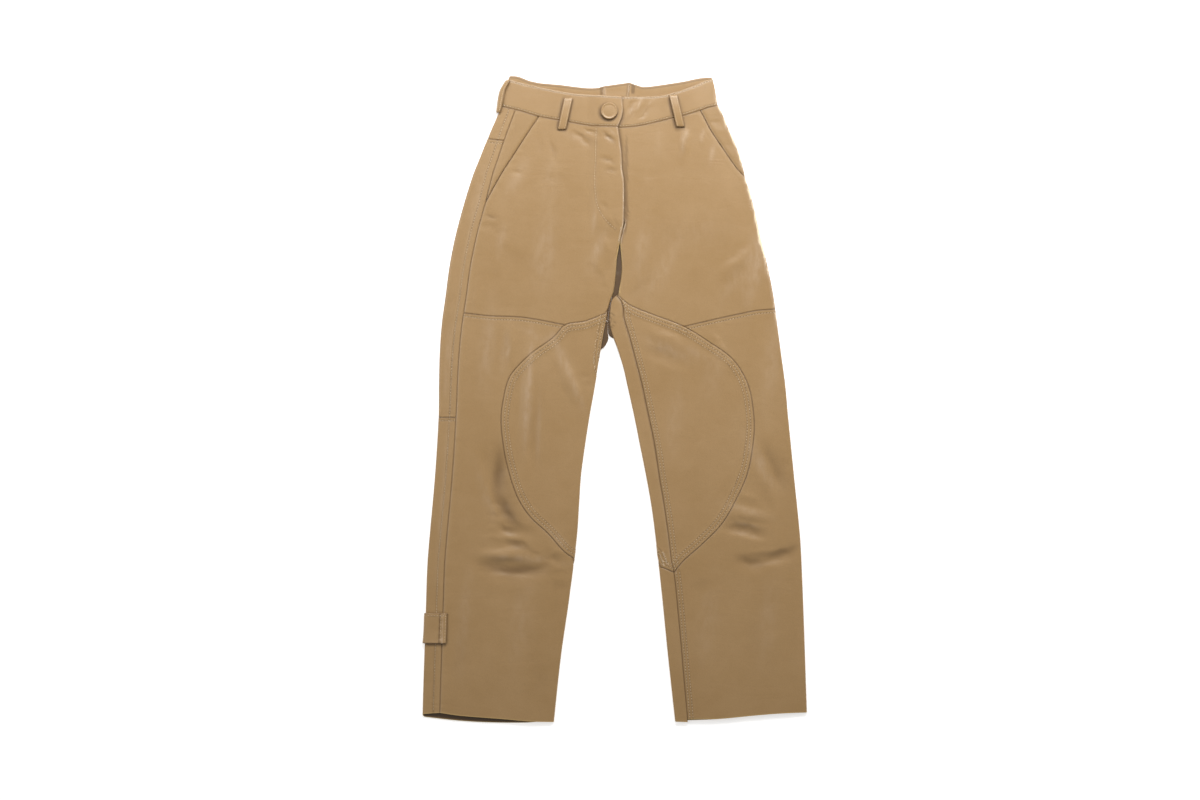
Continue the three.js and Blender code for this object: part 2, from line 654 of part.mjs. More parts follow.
// The left patch comes round the inner fold to the inseam on top, with a slit above the fork.
function addLeftBackPatch() {
  const tube = leftHalf;
  const inseam = fromBack('left', inseamEdge('left'));
  const crease = (y) => ({ w: -fullTurn(tube, y) / 2 - foldSpan * (1 - turnAt.leftBack(y) / 90), y });
  const tip = crease(splitY.left);
  const { seat, upper, lower } = backPatchSeam('left');
  const stripStart = inseam(crotchY.left - stripDrop);
  const strip = patch(
    Array(steps.strip + 1).fill(stripStart), along([inseam(splitY.left), tip], steps.strip),
    [stripStart, ...levels(crotchY.left, splitY.left, steps.fork, inseam).slice(1)],
    [stripStart, ...levels(crotchY.left, splitY.left, steps.fork, crease).slice(1)],
  );
  const forkEdge = along([...spots(tube, fork.left), tip], steps.seat);
  const base = patch(
    Array(steps.cross + 1).fill(seat[0]), along([tip, seat.at(-1)], steps.cross), forkEdge, seat,
  );
  const legTop = [...strip.at(-1), ...base.at(-1).slice(1)];
  const leg = patch(
    legTop, legTop.map(() => inseam(patchTip.left)),
    levels(splitY.left, patchTip.left, steps.inseam, inseam), [...upper, ...lower.slice(1)],
  );
  add('back_patch_left', tanTrim, wall(tube, [strip, base, leg], { gap: seamGap }));
}

// A run straight along Y at one x underneath.
function straightDown(tube, x, from, to) {
  return levels(from, to, steps.bandSide, (y) => spot(tube, { layer: 'under', x, y }));
}

function addWaistband(side) {
  const tube = tubes[side];
  const top = along(spots(tube, waistTop[side]), steps.band);
  const all = spots(tube, waistSeam[side]);
  const bottom = along(all, steps.band, 1, all.length - 1);
  const back = straightDown(tube, waistTop[side][0].x, top[0].y, bottom[0].y);
  const front = along(spots(tube, bandEnd[side]), steps.bandSide);
  add(`waistband_${side}`, tanTrim, wall(tube, [patch(top, bottom, back, front)], { layer: doubled }));
}

function addCentreBackPiece() {
  const seamY = waistSeam.right[1].y;
  const ends = [waistTop.left[0], waistTop.right[0]];
  const grid = [ends, ends.map((end) => ({ ...end, y: seamY }))].map((row) => spots(rightHalf, row));
  add('waistband_back_centre', tanTrim, wall(rightHalf, [grid], { layer: doubled }));
}

function addFrontLoop({ side, topX, topY, bottomX, bottomY }) {
  const tube = tubes[side];
  const reach = (loopWidth / 2) * tube.sign;
  const corner = (x, y) => spot(tube, { layer: 'over', x, y });
  const top = along([corner(topX - reach, topY), corner(topX + reach, topY)], 2);
  const bottom = along([corner(bottomX - reach, bottomY), corner(bottomX + reach, bottomY)], 2);
  const edge = (k) => along([top[k], bottom[k]], steps.loop);
  const grid = patch(top, bottom, edge(0), edge(2));
  const out = (u, v) => loopSeat + loopLayer + loopSlack * Math.sin(Math.PI * v);
  add(`belt_loop_front_${side}`, tanTrim, wall(tube, [grid], { out, layer: loopLayer, gap: 0 }));
}

// The side loop stands out from the right fold, seen on its edge.
function addSideLoop() {
  const [from, to] = sideLoop.turn.map((turn) => (foldSpan * turn) / 90);
  const edge = (w) => levels(sideLoop.topY, sideLoop.bottomY, steps.loop, (y) => ({ w, y }));
  const across = (y) => along([{ w: from, y }, { w: to, y }], steps.loop - 1);
  const grid = patch(across(sideLoop.topY), across(sideLoop.bottomY), edge(from), edge(to));
  const out = (u, v) => sideLoop.seat + loopLayer + sideLoop.slack * Math.sin(Math.PI * v);
  add('belt_loop_side_right', tanTrim, wall(rightHalf, [grid], { out, layer: loopLayer, gap: 0 }));
}

// The ankle tab comes round the right leg's outer fold and ends just above the surface below.
function addAnkleTab() {
  const from = (foldSpan * tab.turn) / 90;
  const to = foldSpan + tab.inset - foldRadius;
  const edge = (w) => levels(tab.topY, tab.bottomY, steps.strip, (y) => ({ w, y }));
  const across = (y) => along([{ w: from, y }, { w: to, y }], steps.tab);
  const grid = patch(across(tab.topY), across(tab.bottomY), edge(from), edge(to));
  const out = () => seamGap + tab.layer;
  add('ankle_tab_right', tanTrim, wall(rightHalf, [grid], { out, layer: tab.layer, gap: 0 }));
}

function addButton() {
  const { x, y, radius, height, round, foot } = button;
  const corner = new THREE.Vector2(radius - round, height - round);
  const rim = Array.from({ length: steps.round + 1 }, (_, k) => {
    const turn = (k / steps.round) * (Math.PI / 2);
    return new THREE.Vector2(Math.cos(turn), Math.sin(turn)).multiplyScalar(round).add(corner);
  });
  const profile = [[0, 0], [foot, 0], ...rim.map((point) => point.toArray()), [0, height]];
  const disc = new THREE.LatheGeometry(profile.map((point) => new THREE.Vector2(...point)), steps.disc);
  disc.rotateX(Math.PI / 2);
  const seat = place(rightHalf, spot(rightHalf, { layer: 'over', x, y }).w, y, seamGap);
  disc.translate(seat.x, seat.y, seat.z);
  add('button', tanTrim, disc);
}

function add(name, material, geometry) {
  const mesh = new THREE.Mesh(geometry, material);
  mesh.name = name;
  trousers.add(mesh);
}

for (const side of ['right', 'left']) {
  addFront(side);
  addBack(side);
  addWaistband(side);
}
addRightBackPatch();
addLeftBackPatch();
addCentreBackPiece();
frontLoops.forEach(addFrontLoop);
addSideLoop();
addAnkleTab();
addButton();

export default trousers;
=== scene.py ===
# Tan leather trousers lying flat, front up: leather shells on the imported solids, sewn, creased and lit.
# The cut is in millimetres. x runs to the wearer's left, y to the waist, and a spot is w, the way round
# a leg's flattened tube, with y. w is 0 at the outer fold, above 0 on top and below 0 underneath.
import bpy
import numpy as np
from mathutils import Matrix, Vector


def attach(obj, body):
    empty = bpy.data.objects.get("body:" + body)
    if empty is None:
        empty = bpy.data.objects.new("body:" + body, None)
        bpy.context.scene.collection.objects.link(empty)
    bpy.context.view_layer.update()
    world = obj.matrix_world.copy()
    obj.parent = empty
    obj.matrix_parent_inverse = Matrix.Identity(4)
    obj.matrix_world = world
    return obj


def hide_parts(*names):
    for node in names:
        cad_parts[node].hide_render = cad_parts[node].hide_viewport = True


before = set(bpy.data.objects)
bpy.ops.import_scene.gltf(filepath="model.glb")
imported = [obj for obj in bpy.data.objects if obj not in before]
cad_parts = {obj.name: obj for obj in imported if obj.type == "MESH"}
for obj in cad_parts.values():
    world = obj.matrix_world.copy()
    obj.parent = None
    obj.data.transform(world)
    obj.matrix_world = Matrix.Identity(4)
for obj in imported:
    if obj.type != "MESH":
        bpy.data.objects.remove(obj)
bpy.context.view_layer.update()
rootBody = "root"
mm = 0.001

cut = {
    "foldRadius": 2.5,      # outside radius of a side fold
    "foldSpan": 24.0,       # how much of w a quarter turn takes
    "loft": 1.5,            # how far the front stands over its folds
    "loftWidth": 38.0,
    "lapHeight": 2.6,       # how far the right front rises to lap over the left
    "lapFromX": -42.0,
    "lapWidth": 22.0,
    "lapToY": 238.0,
    "lapLength": 30.0,
    "crotchTop": 235.0,
    "crotchEnd": 188.0,
    "forkY": 70.0,
    "upFrom": 18.0,         # how far past the inner fold the stretch that comes up round it starts
    "centre": (0.76, -0.88),
    "leather": 1.3,         # one layer
    "doubled": 2.1,         # two skived layers
    "gap": 0.03,            # half of the gap between two sewn pieces
}

# The x of the folds at the sides and between the legs: y, right half, left half.
outerFold = np.array([
    [486, -158, 145.5], [475, -160, 148], [461.5, -166, 151], [441.5, -170, 154.5], [430, -173, 160.5],
    [404.5, -184, 171], [380.5, -194, 182], [358, -203, 190], [335.5, -212, 196], [290.5, -226, 208],
    [245.5, -238, 218], [200.5, -247, 229], [155.5, -253, 238], [110.5, -259, 244], [65.5, -262, 250],
    [20.5, -263, 256], [-24.5, -263.5, 260], [-114.5, -269, 269], [-204.5, -277, 278],
    [-249.5, -280.5, 280.5], [-339.5, -283.5, 284], [-429.5, -286.5, 287], [-486, -288, 289],
])
innerFold = np.array([
    [235, 10.5, 6], [211, 4, 10], [188, 2, 10.5], [160, -1.6, 5], [148, -6.2, -3.6], [133, -10.4, -6.6],
    [113.5, -13, -7], [98, -16, -4], [86.5, -18, 0], [73, -20.5, 5], [47, -25.5, 13], [20.5, -29, 19],
    [-24.5, -37, 29], [-69.5, -44, 38], [-114.5, -50, 47], [-159.5, -53, 55], [-204.5, -56, 61],
    [-294.5, -67, 71], [-384.5, -80, 80], [-486, -91, 91],
])
outseamInset = np.array([[-486, 26], [-28, 26], [128.5, 31], [293.5, 32], [433, 23]])  # y, inset
creaseTurn = np.array([  # y, then how far the left leg's front and back have turned down, in degrees
    [235, 0, 90], [211, 60, 90], [188, 90, 90], [173, 84, 80], [158.5, 22, 22], [148, 22, 88],
    [130, 22, 90], [58, 22, 90],
])
innerTurn = np.array([  # y, the turn of the right leg's front, and how far it runs on underneath
    [235, 0, 0], [211, 60, 0], [188, 90, 0], [130, 92, 0], [70, 98, 0], [52, 180, 0.5], [45, 180, 2],
    [-10, 180, 18], [-120, 180, 20], [-486, 180, 20],
])

# Seams, each a run of (layer, x, y). o is on top, u is underneath and f is at the outer fold.
seams = {
    "waistTopRight": "u -16.5 468.5, u -26 466, u -44 466, u -82 470.5, u -110 473, u -127 476.5, "
                     "u -148 483.5, f 0 482, o -152 477, o -127 470.5, o -68 458.5, o -35 455.5, o 11 452.5",
    "waistTopLeft": "u 22.5 474, u 32 470.5, u 43 467.5, u 61 469, u 101 475, u 133 481, f 0 480.5, "
                    "o 138 477.5, o 122 470.5, o 92 460, o 67 454, o 11 452.5, o -14 452.3",
    "waistRight": "u 3 424, u -16.5 424, u -60 424.5, u -110 429, u -152 437, f 0 441, o -149 433, "
                  "o -113 422.5, o -72 415, o -35 408.5, o 5 407",
    "waistLeft": "u 3 424, u 22.5 424, u 60 425, u 101 431, u 133 439, f 0 441, o 144 437, o 128 431.5, "
                 "o 104 424, o 91 421, o 40 409, o 10 406, o -20 406.5",
    "yokeRight": "u 3 352, u -60 360, u -120 374, u -175 388, f 0 391",
    "yokeLeft": "u 3 352, u 60 360, u 110 374, u 136 381.5",
    "flyRight": "o 5 407, o 10 370, o 11 347.5, o 14 325, o 14 268, o 12 253, o 8 235",
    "flyLeft": "o -20 406.5, o -14 370, o -11 325, o -11 277, o 14 266, o 12 253, o 8 235",
    "bandEndRight": "o 11 452.5, o 11 422.5, o 5 407",
    "bandEndLeft": "o -14 452.3, o -20 406.5",
    "slantRight": "o -113 422.5",
    "slantLeft": "o 128 431.5, o 157 382, o 190 337, f 0 318",
    "thighRight": "o -187 124, o -146 122.5, o -119 119, o -74 110.5",
    "thighLeft": "f 0 134, o 217 132.5, o 188 127, o 151 119, o 104 108",
    "frontPatchRight": "o -43 116.5, o -74 110.5, o -91 92.5, o -124 68.5, o -146 47.5, o -158 31, "
                       "o -166 2.5, o -170 -29, o -167 -66.5, o -161 -99.5, o -146 -146, o -127 -176, "
                       "o -100 -201.5, o -66 -236",
    "frontPatchLeft": "o 23 140.5, o 55 127, o 104 108, o 146 82, o 178 58, o 200 20.5, o 208.5 -25, "
                      "o 208 -62, o 199.5 -110, o 184 -147, o 161 -187, o 131 -218, o 104 -242",
    "backPatchRight": "u -10 118, u -60 104, u -120 80, u -175 50, u -203 20, u -210 -28, u -205 -66, "
                      "u -195 -112, u -170 -155, u -145 -190, u -118 -220",
    "backPatchLeft": "u -10 118, u 50 104, u 95 84, u 137 58, u 159 20.5, u 166 -28, u 163 -62, u 160 -112, "
                     "u 145 -149, u 122 -188, u 92 -218",
    "centreBack": "u 3 424, u 3 352, u 2 235, u -1 180, u -4.9 148, u -8.5 130, u -10 118",
    "forkRight": "u -10 118, u -10 98, u -9 90, u -15 78, u -25 70, u -27.3 60",
    "forkLeft": "u -10 118, u -9.4 98, u -6 93, u 1.5 88, u 5 80, u 8.7 70",
    "inseamLeft": "o 10 146.5, o 13.5 134.5, o 14.5 121, o 22 95.5, o 32 58, o 47 -5, o 59 -62, o 68 -120.5, "
                  "o 73.5 -153.5, o 85 -242, o 89 -260, o 97 -338, o 103 -407, o 109.5 -480",
    "frontHemRight": "o -230 -474.5, o -173 -479, o -115 -483.5",
    "frontHemLeft": "f 0 -469.5, o 250 -471, o 200 -475, o 158 -479, o 109.5 -480",
    "backHemRight": "u -134 -485.5, u -191 -485, u -239 -482, f 0 -474",
    "backHemLeft": "u 110 -482, u 158 -480, u 220 -474",
}
levelsY = {  # the y of each level at which runs of points start and end
    "outseamHem": -470, "innerHemRight": -484, "innerHemLeft": -480, "backHem": -484, "cross": -28,
    "splitRight": 45, "splitLeft": 58, "yoke": 386.5, "slantEndRight": 293.5, "slantEndLeft": 300,
    "pocketEnd": 293.5, "thighEnd": 128.5, "thighRight": 128.5, "thighLeft": 130,
    "tipRight": -262, "tipLeft": -260, "crotchRight": 135,
    "crotchLeft": 158.5, "patchStart": 128,
}
shortRuns = {"belowTip": 28, "stripDrop": 3, "stripWhole": 9}  # lengths down from a level
waistOutseam = {"Right": 6, "Left": 4}  # the row of the waist seam at the outseam

# Soft folds of the front: x, y, angle, half length, half width, height.
softFolds = np.array([
    [-173, -130, -70, 75, 20, -2.2], [-150, -196, -14, 40, 14, -2], [-165, -232, 4, 52, 13, 2],
    [-155, -252, -6, 66, 16, -2.6], [-84, -242, -30, 34, 12, -1.4], [-131, 0, 86, 110, 13, 1.8],
    [-119, -40, 88, 90, 11, -1.6], [-65, 19, -66, 62, 13, 1.6], [78, 90, -25, 60, 15, 0.9],
    [74, 62, -20, 58, 14, -0.9], [240, -110, -68, 62, 17, -1.8], [200, -172, -12, 44, 12, 1.6],
    [194, -197, -13, 46, 12, -1.8], [226, -239, 6, 50, 13, -2.2], [105, 380, 84, 32, 10, 1],
    [186, 205, 40, 52, 15, 1],
])


def reader(at, value):
    # A cubic through rows: each stretch blends its two values, with slopes taken from the rows beside it.
    order = np.argsort(at)
    at, value = np.asarray(at, float)[order], np.asarray(value, float)[order]
    index = np.arange(len(at))
    before, after = np.maximum(index - 1, 0), np.minimum(index + 1, len(at) - 1)
    slope = (value[after] - value[before]) / (at[after] - at[before])

    def read(t):
        t = np.asarray(t, float)
        k = np.clip(np.searchsorted(at, t, side="right") - 1, 0, len(at) - 2)
        step = at[k + 1] - at[k]
        f = np.clip((t - at[k]) / step, 0, 1)
        bend = f * f * (3 - 2 * f)
        bow = step * f * (1 - f) * ((1 - f) * slope[k] - f * slope[k + 1])
        return value[k] * (1 - bend) + value[k + 1] * bend + bow

    return read


def smoothStep(t):
    f = np.clip(t, 0, 1)
    return f * f * (3 - 2 * f)


halves = {
    name: {"name": name, "sign": sign, "outer": reader(outerFold[:, 0], outerFold[:, column]),
           "inner": reader(innerFold[:, 0], innerFold[:, column])}
    for name, sign, column in (("Right", 1, 1), ("Left", -1, 2))
}


def flatWidth(half, y):
    return np.abs(half["inner"](y) - half["outer"](y)) - 2 * cut["foldRadius"]


def turnsUp(half, w, y):
    # A spot named from the back that lies on the stretch coming up round the inner fold.
    past = -w - cut["foldSpan"] - flatWidth(half, y)
    return (y < cut["crotchEnd"]) & (past > np.where(y < cut["forkY"], 0, cut["upFrom"]))


def bump(x, y, folds):
    # Each fold is a hump (1 - down^2)^2 (1 - across^2)^2 along its own direction, times its height.
    height = np.zeros_like(x)
    for foldX, foldY, angle, length, width, rise in folds:
        c, s = np.cos(np.radians(angle)), np.sin(np.radians(angle))
        down = np.clip(((x - foldX) * c + (y - foldY) * s) / length, -1, 1)
        across = np.clip(((y - foldY) * c - (x - foldX) * s) / width, -1, 1)
        height += rise * (1 - down ** 2) ** 2 * (1 - across ** 2) ** 2
    return height


def rise(half, cross, x, y):
    # The front's height over its folds: loft and soft folds, faded at the folds, and the fly's lap.
    inward = np.clip((cut["crotchTop"] - y) / (cut["crotchTop"] - cut["crotchEnd"]), 0, 1)
    toInner = flatWidth(half, y) + cut["foldRadius"] - cross
    outerFade = smoothStep((cross - cut["foldRadius"]) / cut["loftWidth"])
    innerFade = 1 + (smoothStep(toInner / cut["loftWidth"]) - 1) * smoothStep(inward)
    lap = cut["lapHeight"] * (half["name"] == "Right") * smoothStep((x - cut["lapFromX"]) / cut["lapWidth"])
    lap = lap * smoothStep((y - cut["lapToY"]) / cut["lapLength"])
    return (cut["loft"] + bump(x, y, softFolds)) * outerFade * innerFade + lap


def wayRound(half, w, y):
    return np.where(turnsUp(half, w, y), w + 2 * (2 * cut["foldSpan"] + flatWidth(half, y)), w)


def place(half, w, y, n=0.0):
    # Underneath, round the outer fold, on top, round the inner fold and underneath again, moved out by n.
    w, y = np.broadcast_arrays(np.asarray(w, float), np.asarray(y, float))
    n = np.broadcast_to(np.asarray(n, float), w.shape)
    radius, span = cut["foldRadius"], cut["foldSpan"]
    flat = flatWidth(half, y)
    way = wayRound(half, w, y)
    quarter = np.pi / 2 / span
    top = radius + way - span
    turn = np.clip(way, -span, span) * quarter
    down = np.clip(way - span - flat, 0, 2 * span) * quarter
    onTop = (way >= span) & ((way <= span + flat) | (y > cut["crotchTop"]))
    cross = np.select(
        [way <= -span, way < span, onTop, way < 3 * span + flat],
        [radius - way - span, radius - (radius + n) * np.cos(turn), top,
         radius + flat + (radius + n) * np.sin(down)],
        radius + flat - (way - 3 * span - flat))
    high = 2 * radius + n + rise(half, top, half["outer"](y) + half["sign"] * top, y)
    z = np.select(
        [way <= -span, way < span, onTop, way < 3 * span + flat],
        [-n, radius + (radius + n) * np.sin(turn), high, radius + (radius + n) * np.cos(down)],
        -n)
    x = half["outer"](y) + half["sign"] * cross
    return np.stack([x - cut["centre"][0], y - cut["centre"][1], z], axis=-1)


def realPerW(half, w, y):
    # How much real length one unit of w is: little where the tube turns, because w is spread out there.
    flat, span = flatWidth(half, y), cut["foldSpan"]
    way = wayRound(half, w, y)
    turning = (np.abs(way) < span) | ((y < cut["crotchTop"]) & (way > span + flat) & (way < 3 * span + flat))
    return np.where(turning, (cut["foldRadius"] - cut["leather"] / 2) * np.pi / 2 / span, 1.0)


def facesDown(half, w, y):
    # How much of a move outwards goes down: none on top, the sine of the turn at a fold, all underneath.
    way, span, flat = wayRound(half, w, y), cut["foldSpan"], flatWidth(half, y)
    outerShare = -np.sin(np.clip(way / span, -1, 1) * np.pi / 2)
    innerShare = -np.cos(np.clip((way - span - flat) / span, 0, 2) * np.pi / 2)
    return np.clip(np.where(y > cut["crotchTop"], outerShare, np.maximum(outerShare, innerShare)), 0, 1)


# A curve is a function that gives the spots (w, y) at parameters from 0 to 1.
def inwardOf(half, x, y):
    # The w on top that stands over an x.
    return cut["foldSpan"] + (x - half["outer"](y)) * half["sign"] - cut["foldRadius"]


def spots(half, name):
    found = []
    for row in seams[name].split(","):
        layer, x, y = row.split()
        inward = inwardOf(half, float(x), float(y))
        found.append(({"o": inward, "u": -inward, "f": 0.0}[layer], float(y)))
    return np.array(found, float)


def along(points, start=0, end=None):
    points = np.asarray(points, float)
    end = len(points) - 1 if end is None else end
    length = np.concatenate([[0], np.cumsum(np.hypot(*np.diff(points, axis=0).T))])
    w, y = reader(length, points[:, 0]), reader(length, points[:, 1])

    def curve(t):
        at = length[start] + (length[end] - length[start]) * np.asarray(t, float)
        return np.stack([w(at), y(at)], axis=-1)

    return curve


def sharedSeam(half, name, start, end):
    # A seam where both halves meet: x is a cubic of y, and each half turns it into its own w everywhere.
    rows = np.array([row.split()[1:] for row in seams[name].split(",")], float)
    at = np.linspace(rows[start, 1], rows[end, 1], 80)
    inward = cut["foldSpan"] + (reader(rows[:, 1], rows[:, 0])(at) - half["outer"](at)) * half["sign"]
    return along(np.stack([cut["foldRadius"] - inward, at], axis=1))


def levels(start, end, edge):
    return lambda t: edge(start + (end - start) * np.asarray(t, float))


def joined(*parts):
    # Curves one after the other, each with its number of steps as its share of the parameter.
    ends = np.cumsum([steps for _, steps in parts])

    def curve(t):
        at = np.asarray(t, float) * ends[-1]
        part = np.clip(np.searchsorted(ends, at, side="left"), 0, len(parts) - 1)
        found = np.zeros(at.shape + (2,))
        for k, (piece, steps) in enumerate(parts):
            chosen = part == k
            found[chosen] = piece((at[chosen] - (ends[k] - steps)) / steps)
        return found

    curve.knots = ends[:-1] / ends[-1]
    return curve


def reverse(curve):
    return lambda t: curve(1 - np.asarray(t, float))


def point(spot):
    return lambda t: np.broadcast_to(np.asarray(spot, float), np.asarray(t, float).shape + (2,)).copy()


def fullTurn(half, y):
    return 2 * (2 * cut["foldSpan"] + flatWidth(half, y))


def outseamEdge(side):
    half = halves[side]

    def edge(y):
        y = np.asarray(y, float)
        inset = np.interp(y, outseamInset[:, 0], outseamInset[:, 1])
        return np.stack([half["sign"] * (cut["foldSpan"] + inset - cut["foldRadius"]), y], axis=-1)

    return edge


turnAt = {"Right": reader(innerTurn[:, 0], innerTurn[:, 1]),
          "Left": reader(creaseTurn[:, 0], creaseTurn[:, 1])}
backTurnAt = reader(creaseTurn[:, 0], creaseTurn[:, 2])
underAt = reader(innerTurn[:, 0], innerTurn[:, 2])


def creaseEdge(side):
    half = halves[side]

    def edge(y):
        turned = cut["foldSpan"] + flatWidth(half, y) + cut["foldSpan"] * turnAt[side](y) / 90
        return np.stack([turned + (underAt(y) if side == "Right" else 0), np.asarray(y, float)], axis=-1)

    return edge


def inseamEdge(side):
    if side == "Right":
        return creaseEdge("Right")
    start = creaseEdge("Left")(levelsY["crotchLeft"])
    rows = np.vstack([start, spots(halves["Left"], "inseamLeft")])
    w = reader(rows[:, 1], rows[:, 0])
    return lambda y: np.stack([w(y), np.asarray(y, float)], axis=-1)


def fromBack(side, edge):
    # An edge as the back meets it, from the other way round the tube.
    def seen(y):
        found = edge(np.asarray(y, float)).copy()
        found[..., 0] -= fullTurn(halves[side], found[..., 1])
        return found

    return seen


def frontPatchSeam(side):
    inseam, half = inseamEdge(side), halves[side]
    rows = [inseam(levelsY["crotch" + side])]
    if side == "Right":
        at = inseam(levelsY["patchStart"])
        rows.append(at - [cut["foldSpan"], 0])
    rows = np.vstack([rows, spots(half, "frontPatch" + side), inseam(levelsY["tip" + side])])
    return along(rows, 0, 3), along(rows, 3)


def backPatchSeam(side):
    inseam = fromBack(side, inseamEdge(side))
    rows = np.vstack([spots(halves[side], "backPatch" + side), inseam(levelsY["tip" + side])])
    return along(rows, 0, 3), along(rows, 3, 5), along(rows, 5)


# Sharper creases over the soft folds: x, y, angle, half length, width on each side, height, bow.
# The first width is the steep side, left of the crease's own direction. Bow bends its line.
creases = {
    "top": [
        (-174, -112, -95, 54, 12, 7, -1.9, 0), (-160, -168, -58, 34, 6, 10, -2.0, -2),
        (-161, -197, -25, 22, 4, 7, -1.3, 2), (-150, -208, -14, 24, 4, 8, 0.3, 2),
        (-145, -219, -17, 26, 4, 8, -1.6, 2), (-172, -190, 4, 30, 3, 6, 0.6, -2),
        (-178, -208, 2, 34, 3, 6, 0.6, 1), (-168, -236, -6, 42, 6, 9, 0.5, 3),
        (-145, -248, -2, 66, 6, 13, -2.2, -9), (-180, -262, -4, 34, 5, 8, -0.6, 2),
        (-100, -243, -8, 24, 5, 9, -0.8, 3), (-178, -158, -6, 16, 3, 4, -0.5, 1),
        (-180, -174, -4, 16, 3, 4, -0.5, -1), (-172, -186, 2, 14, 3, 4, 0.4, 1),
        (-176, -226, 8, 20, 3, 4, -0.5, 2), (-120, -232, -24, 18, 3, 5, -0.6, 1),
        (-90, -232, 24, 20, 3, 5, 0.5, 1), (-84, -262, 6, 22, 4, 6, -0.5, 1),
        (176, -184, -20, 16, 3, 4, -0.5, 1), (214, -206, -6, 18, 3, 4, -0.5, 1),
        (226, -150, -70, 26, 4, 7, -0.5, 2), (-82, -282, -20, 24, 6, 12, -0.7, 2),
        (-131, -8, 87, 66, 3, 5, 0.9, -3), (-120, -60, 90, 66, 5, 9, -0.8, 2),
        (-163, 76, -88, 34, 4, 8, -0.8, 0), (-153, 78, -88, 46, 4, 6, 0.7, 0),
        (-62, 22, -66, 44, 3.5, 7, 0.9, 4), (-44, 34, -10, 12, 3, 5, -0.5, 0),
        (-40, 22, -8, 13, 3, 5, -0.5, 0), (79, 88, -24, 34, 6, 11, 0.5, 4),
        (70, 66, -16, 30, 7, 12, -0.6, 3), (155, 86, -48, 26, 4, 8, 0.8, 0),
        (250, -112, -68, 46, 8, 12, -1.0, 3), (214, -112, -58, 34, 5, 10, 0.8, 3),
        (200, -147, -24, 24, 4, 7, 0.7, 2), (194, -178, -12, 32, 4, 7, 0.5, 2),
        (194, -197, -8, 36, 5, 9, -1.6, 3), (250, -231, 24, 34, 6, 10, -1.8, -2),
        (226, -226, 8, 30, 3, 6, 0.4, -2), (206, -243, -8, 34, 6, 10, -1.8, -3),
        (-8, 391, -40, 15, 2, 4, -1.0, 1), (-34, 399, -24, 17, 2, 4, -0.8, 1),
        (-11, 358, -18, 16, 2, 4, -0.9, 1), (-5, 343, -2, 14, 2, 4, -0.7, 0),
        (-48, 388, -37, 26, 2, 5, -0.9, 2), (-90, 330, 12, 30, 5, 9, -0.4, 3),
        (36, 437, 58, 20, 2, 4, 1.2, 2), (45, 429, 55, 17, 2, 4, -1.1, 0), (24, 438, 62, 15, 2, 4, -1.0, 0),
        (104, 383, 84, 22, 3, 6, 1.1, 0), (131, 390, 78, 15, 2, 5, 0.9, 0),
        (64, 330, 70, 46, 9, 14, 0.5, 4), (150, 414, -4, 13, 3, 4, -0.5, 1),
        (160, 401, -6, 14, 3, 4, 0.5, 0), (166, 381, -4, 16, 3, 4, -0.6, 0),
        (178, 366, -4, 14, 3, 4, 0.4, 0), (-186, 262, 6, 20, 3, 6, -0.6, -2),
        (-176, 252, -8, 26, 4, 7, -0.4, 0), (-8, 263, -50, 11, 2, 4, -0.8, 0),
        (2, 263, -64, 10, 2, 3, -0.7, 0), (-15, 289, -50, 10, 2, 3, -0.6, 0),
        (-92, 372, -76, 22, 2, 5, -0.7, 2), (-112, 380, -80, 18, 3, 6, -0.4, 1),
        (-145, 340, -5, 12, 2, 4, -0.7, 0), (-184, 273, -10, 15, 2, 4, -0.8, 0),
        (-16, 236, -70, 36, 5, 9, 0.6, 2), (30, 208, 76, 42, 5, 9, 0.6, -3),
        (34, 168, 40, 34, 5, 9, -0.6, -3), (-26, 182, -56, 36, 5, 9, -0.7, 3),
        (92, 236, 20, 60, 10, 16, -0.4, 4), (186, 205, 42, 40, 6, 11, 0.6, 3),
        (-150, 210, -28, 52, 9, 15, -0.4, 4), (-205, 150, 78, 44, 6, 10, 0.5, 2),
        (130, -330, 84, 90, 10, 18, 0.6, 4), (214, -360, 80, 80, 10, 16, -0.5, 4),
        (-180, -370, 86, 84, 10, 18, 0.6, -4), (-232, -392, 84, 60, 7, 12, -0.7, 2),
        (-116, -420, 96, 48, 8, 14, -0.5, 2), (196, -60, 84, 60, 8, 14, 0.4, 3),
        (120, -96, 66, 60, 8, 15, 0.4, 3),
    ],
    "under": [
        (-150, -110, 64, 46, 7, 11, -1.1, 4), (-140, -170, 10, 34, 5, 9, -1.2, -3),
        (-170, -206, -6, 44, 6, 10, -1.2, 3), (-120, -240, 8, 36, 5, 9, -0.9, -2),
        (150, -120, -66, 44, 6, 10, -1.0, 4), (160, -178, -8, 38, 6, 9, -1.2, 3),
        (196, -220, 6, 46, 6, 10, -1.2, -3), (140, -250, -10, 30, 5, 8, -0.8, 2),
        (60, 140, 30, 62, 8, 13, -0.9, 5), (-70, 150, -32, 64, 8, 13, -0.9, -5),
        (96, 106, 20, 42, 6, 10, -0.7, 2), (-110, 112, -18, 46, 6, 11, -0.8, 2),
        (120, 230, 70, 52, 8, 14, -0.6, 3), (-140, 250, -72, 52, 8, 14, -0.6, 3),
        (60, 405, 60, 18, 4, 7, -0.5, 1), (-90, 400, -62, 18, 4, 7, -0.5, 1),
    ],
}

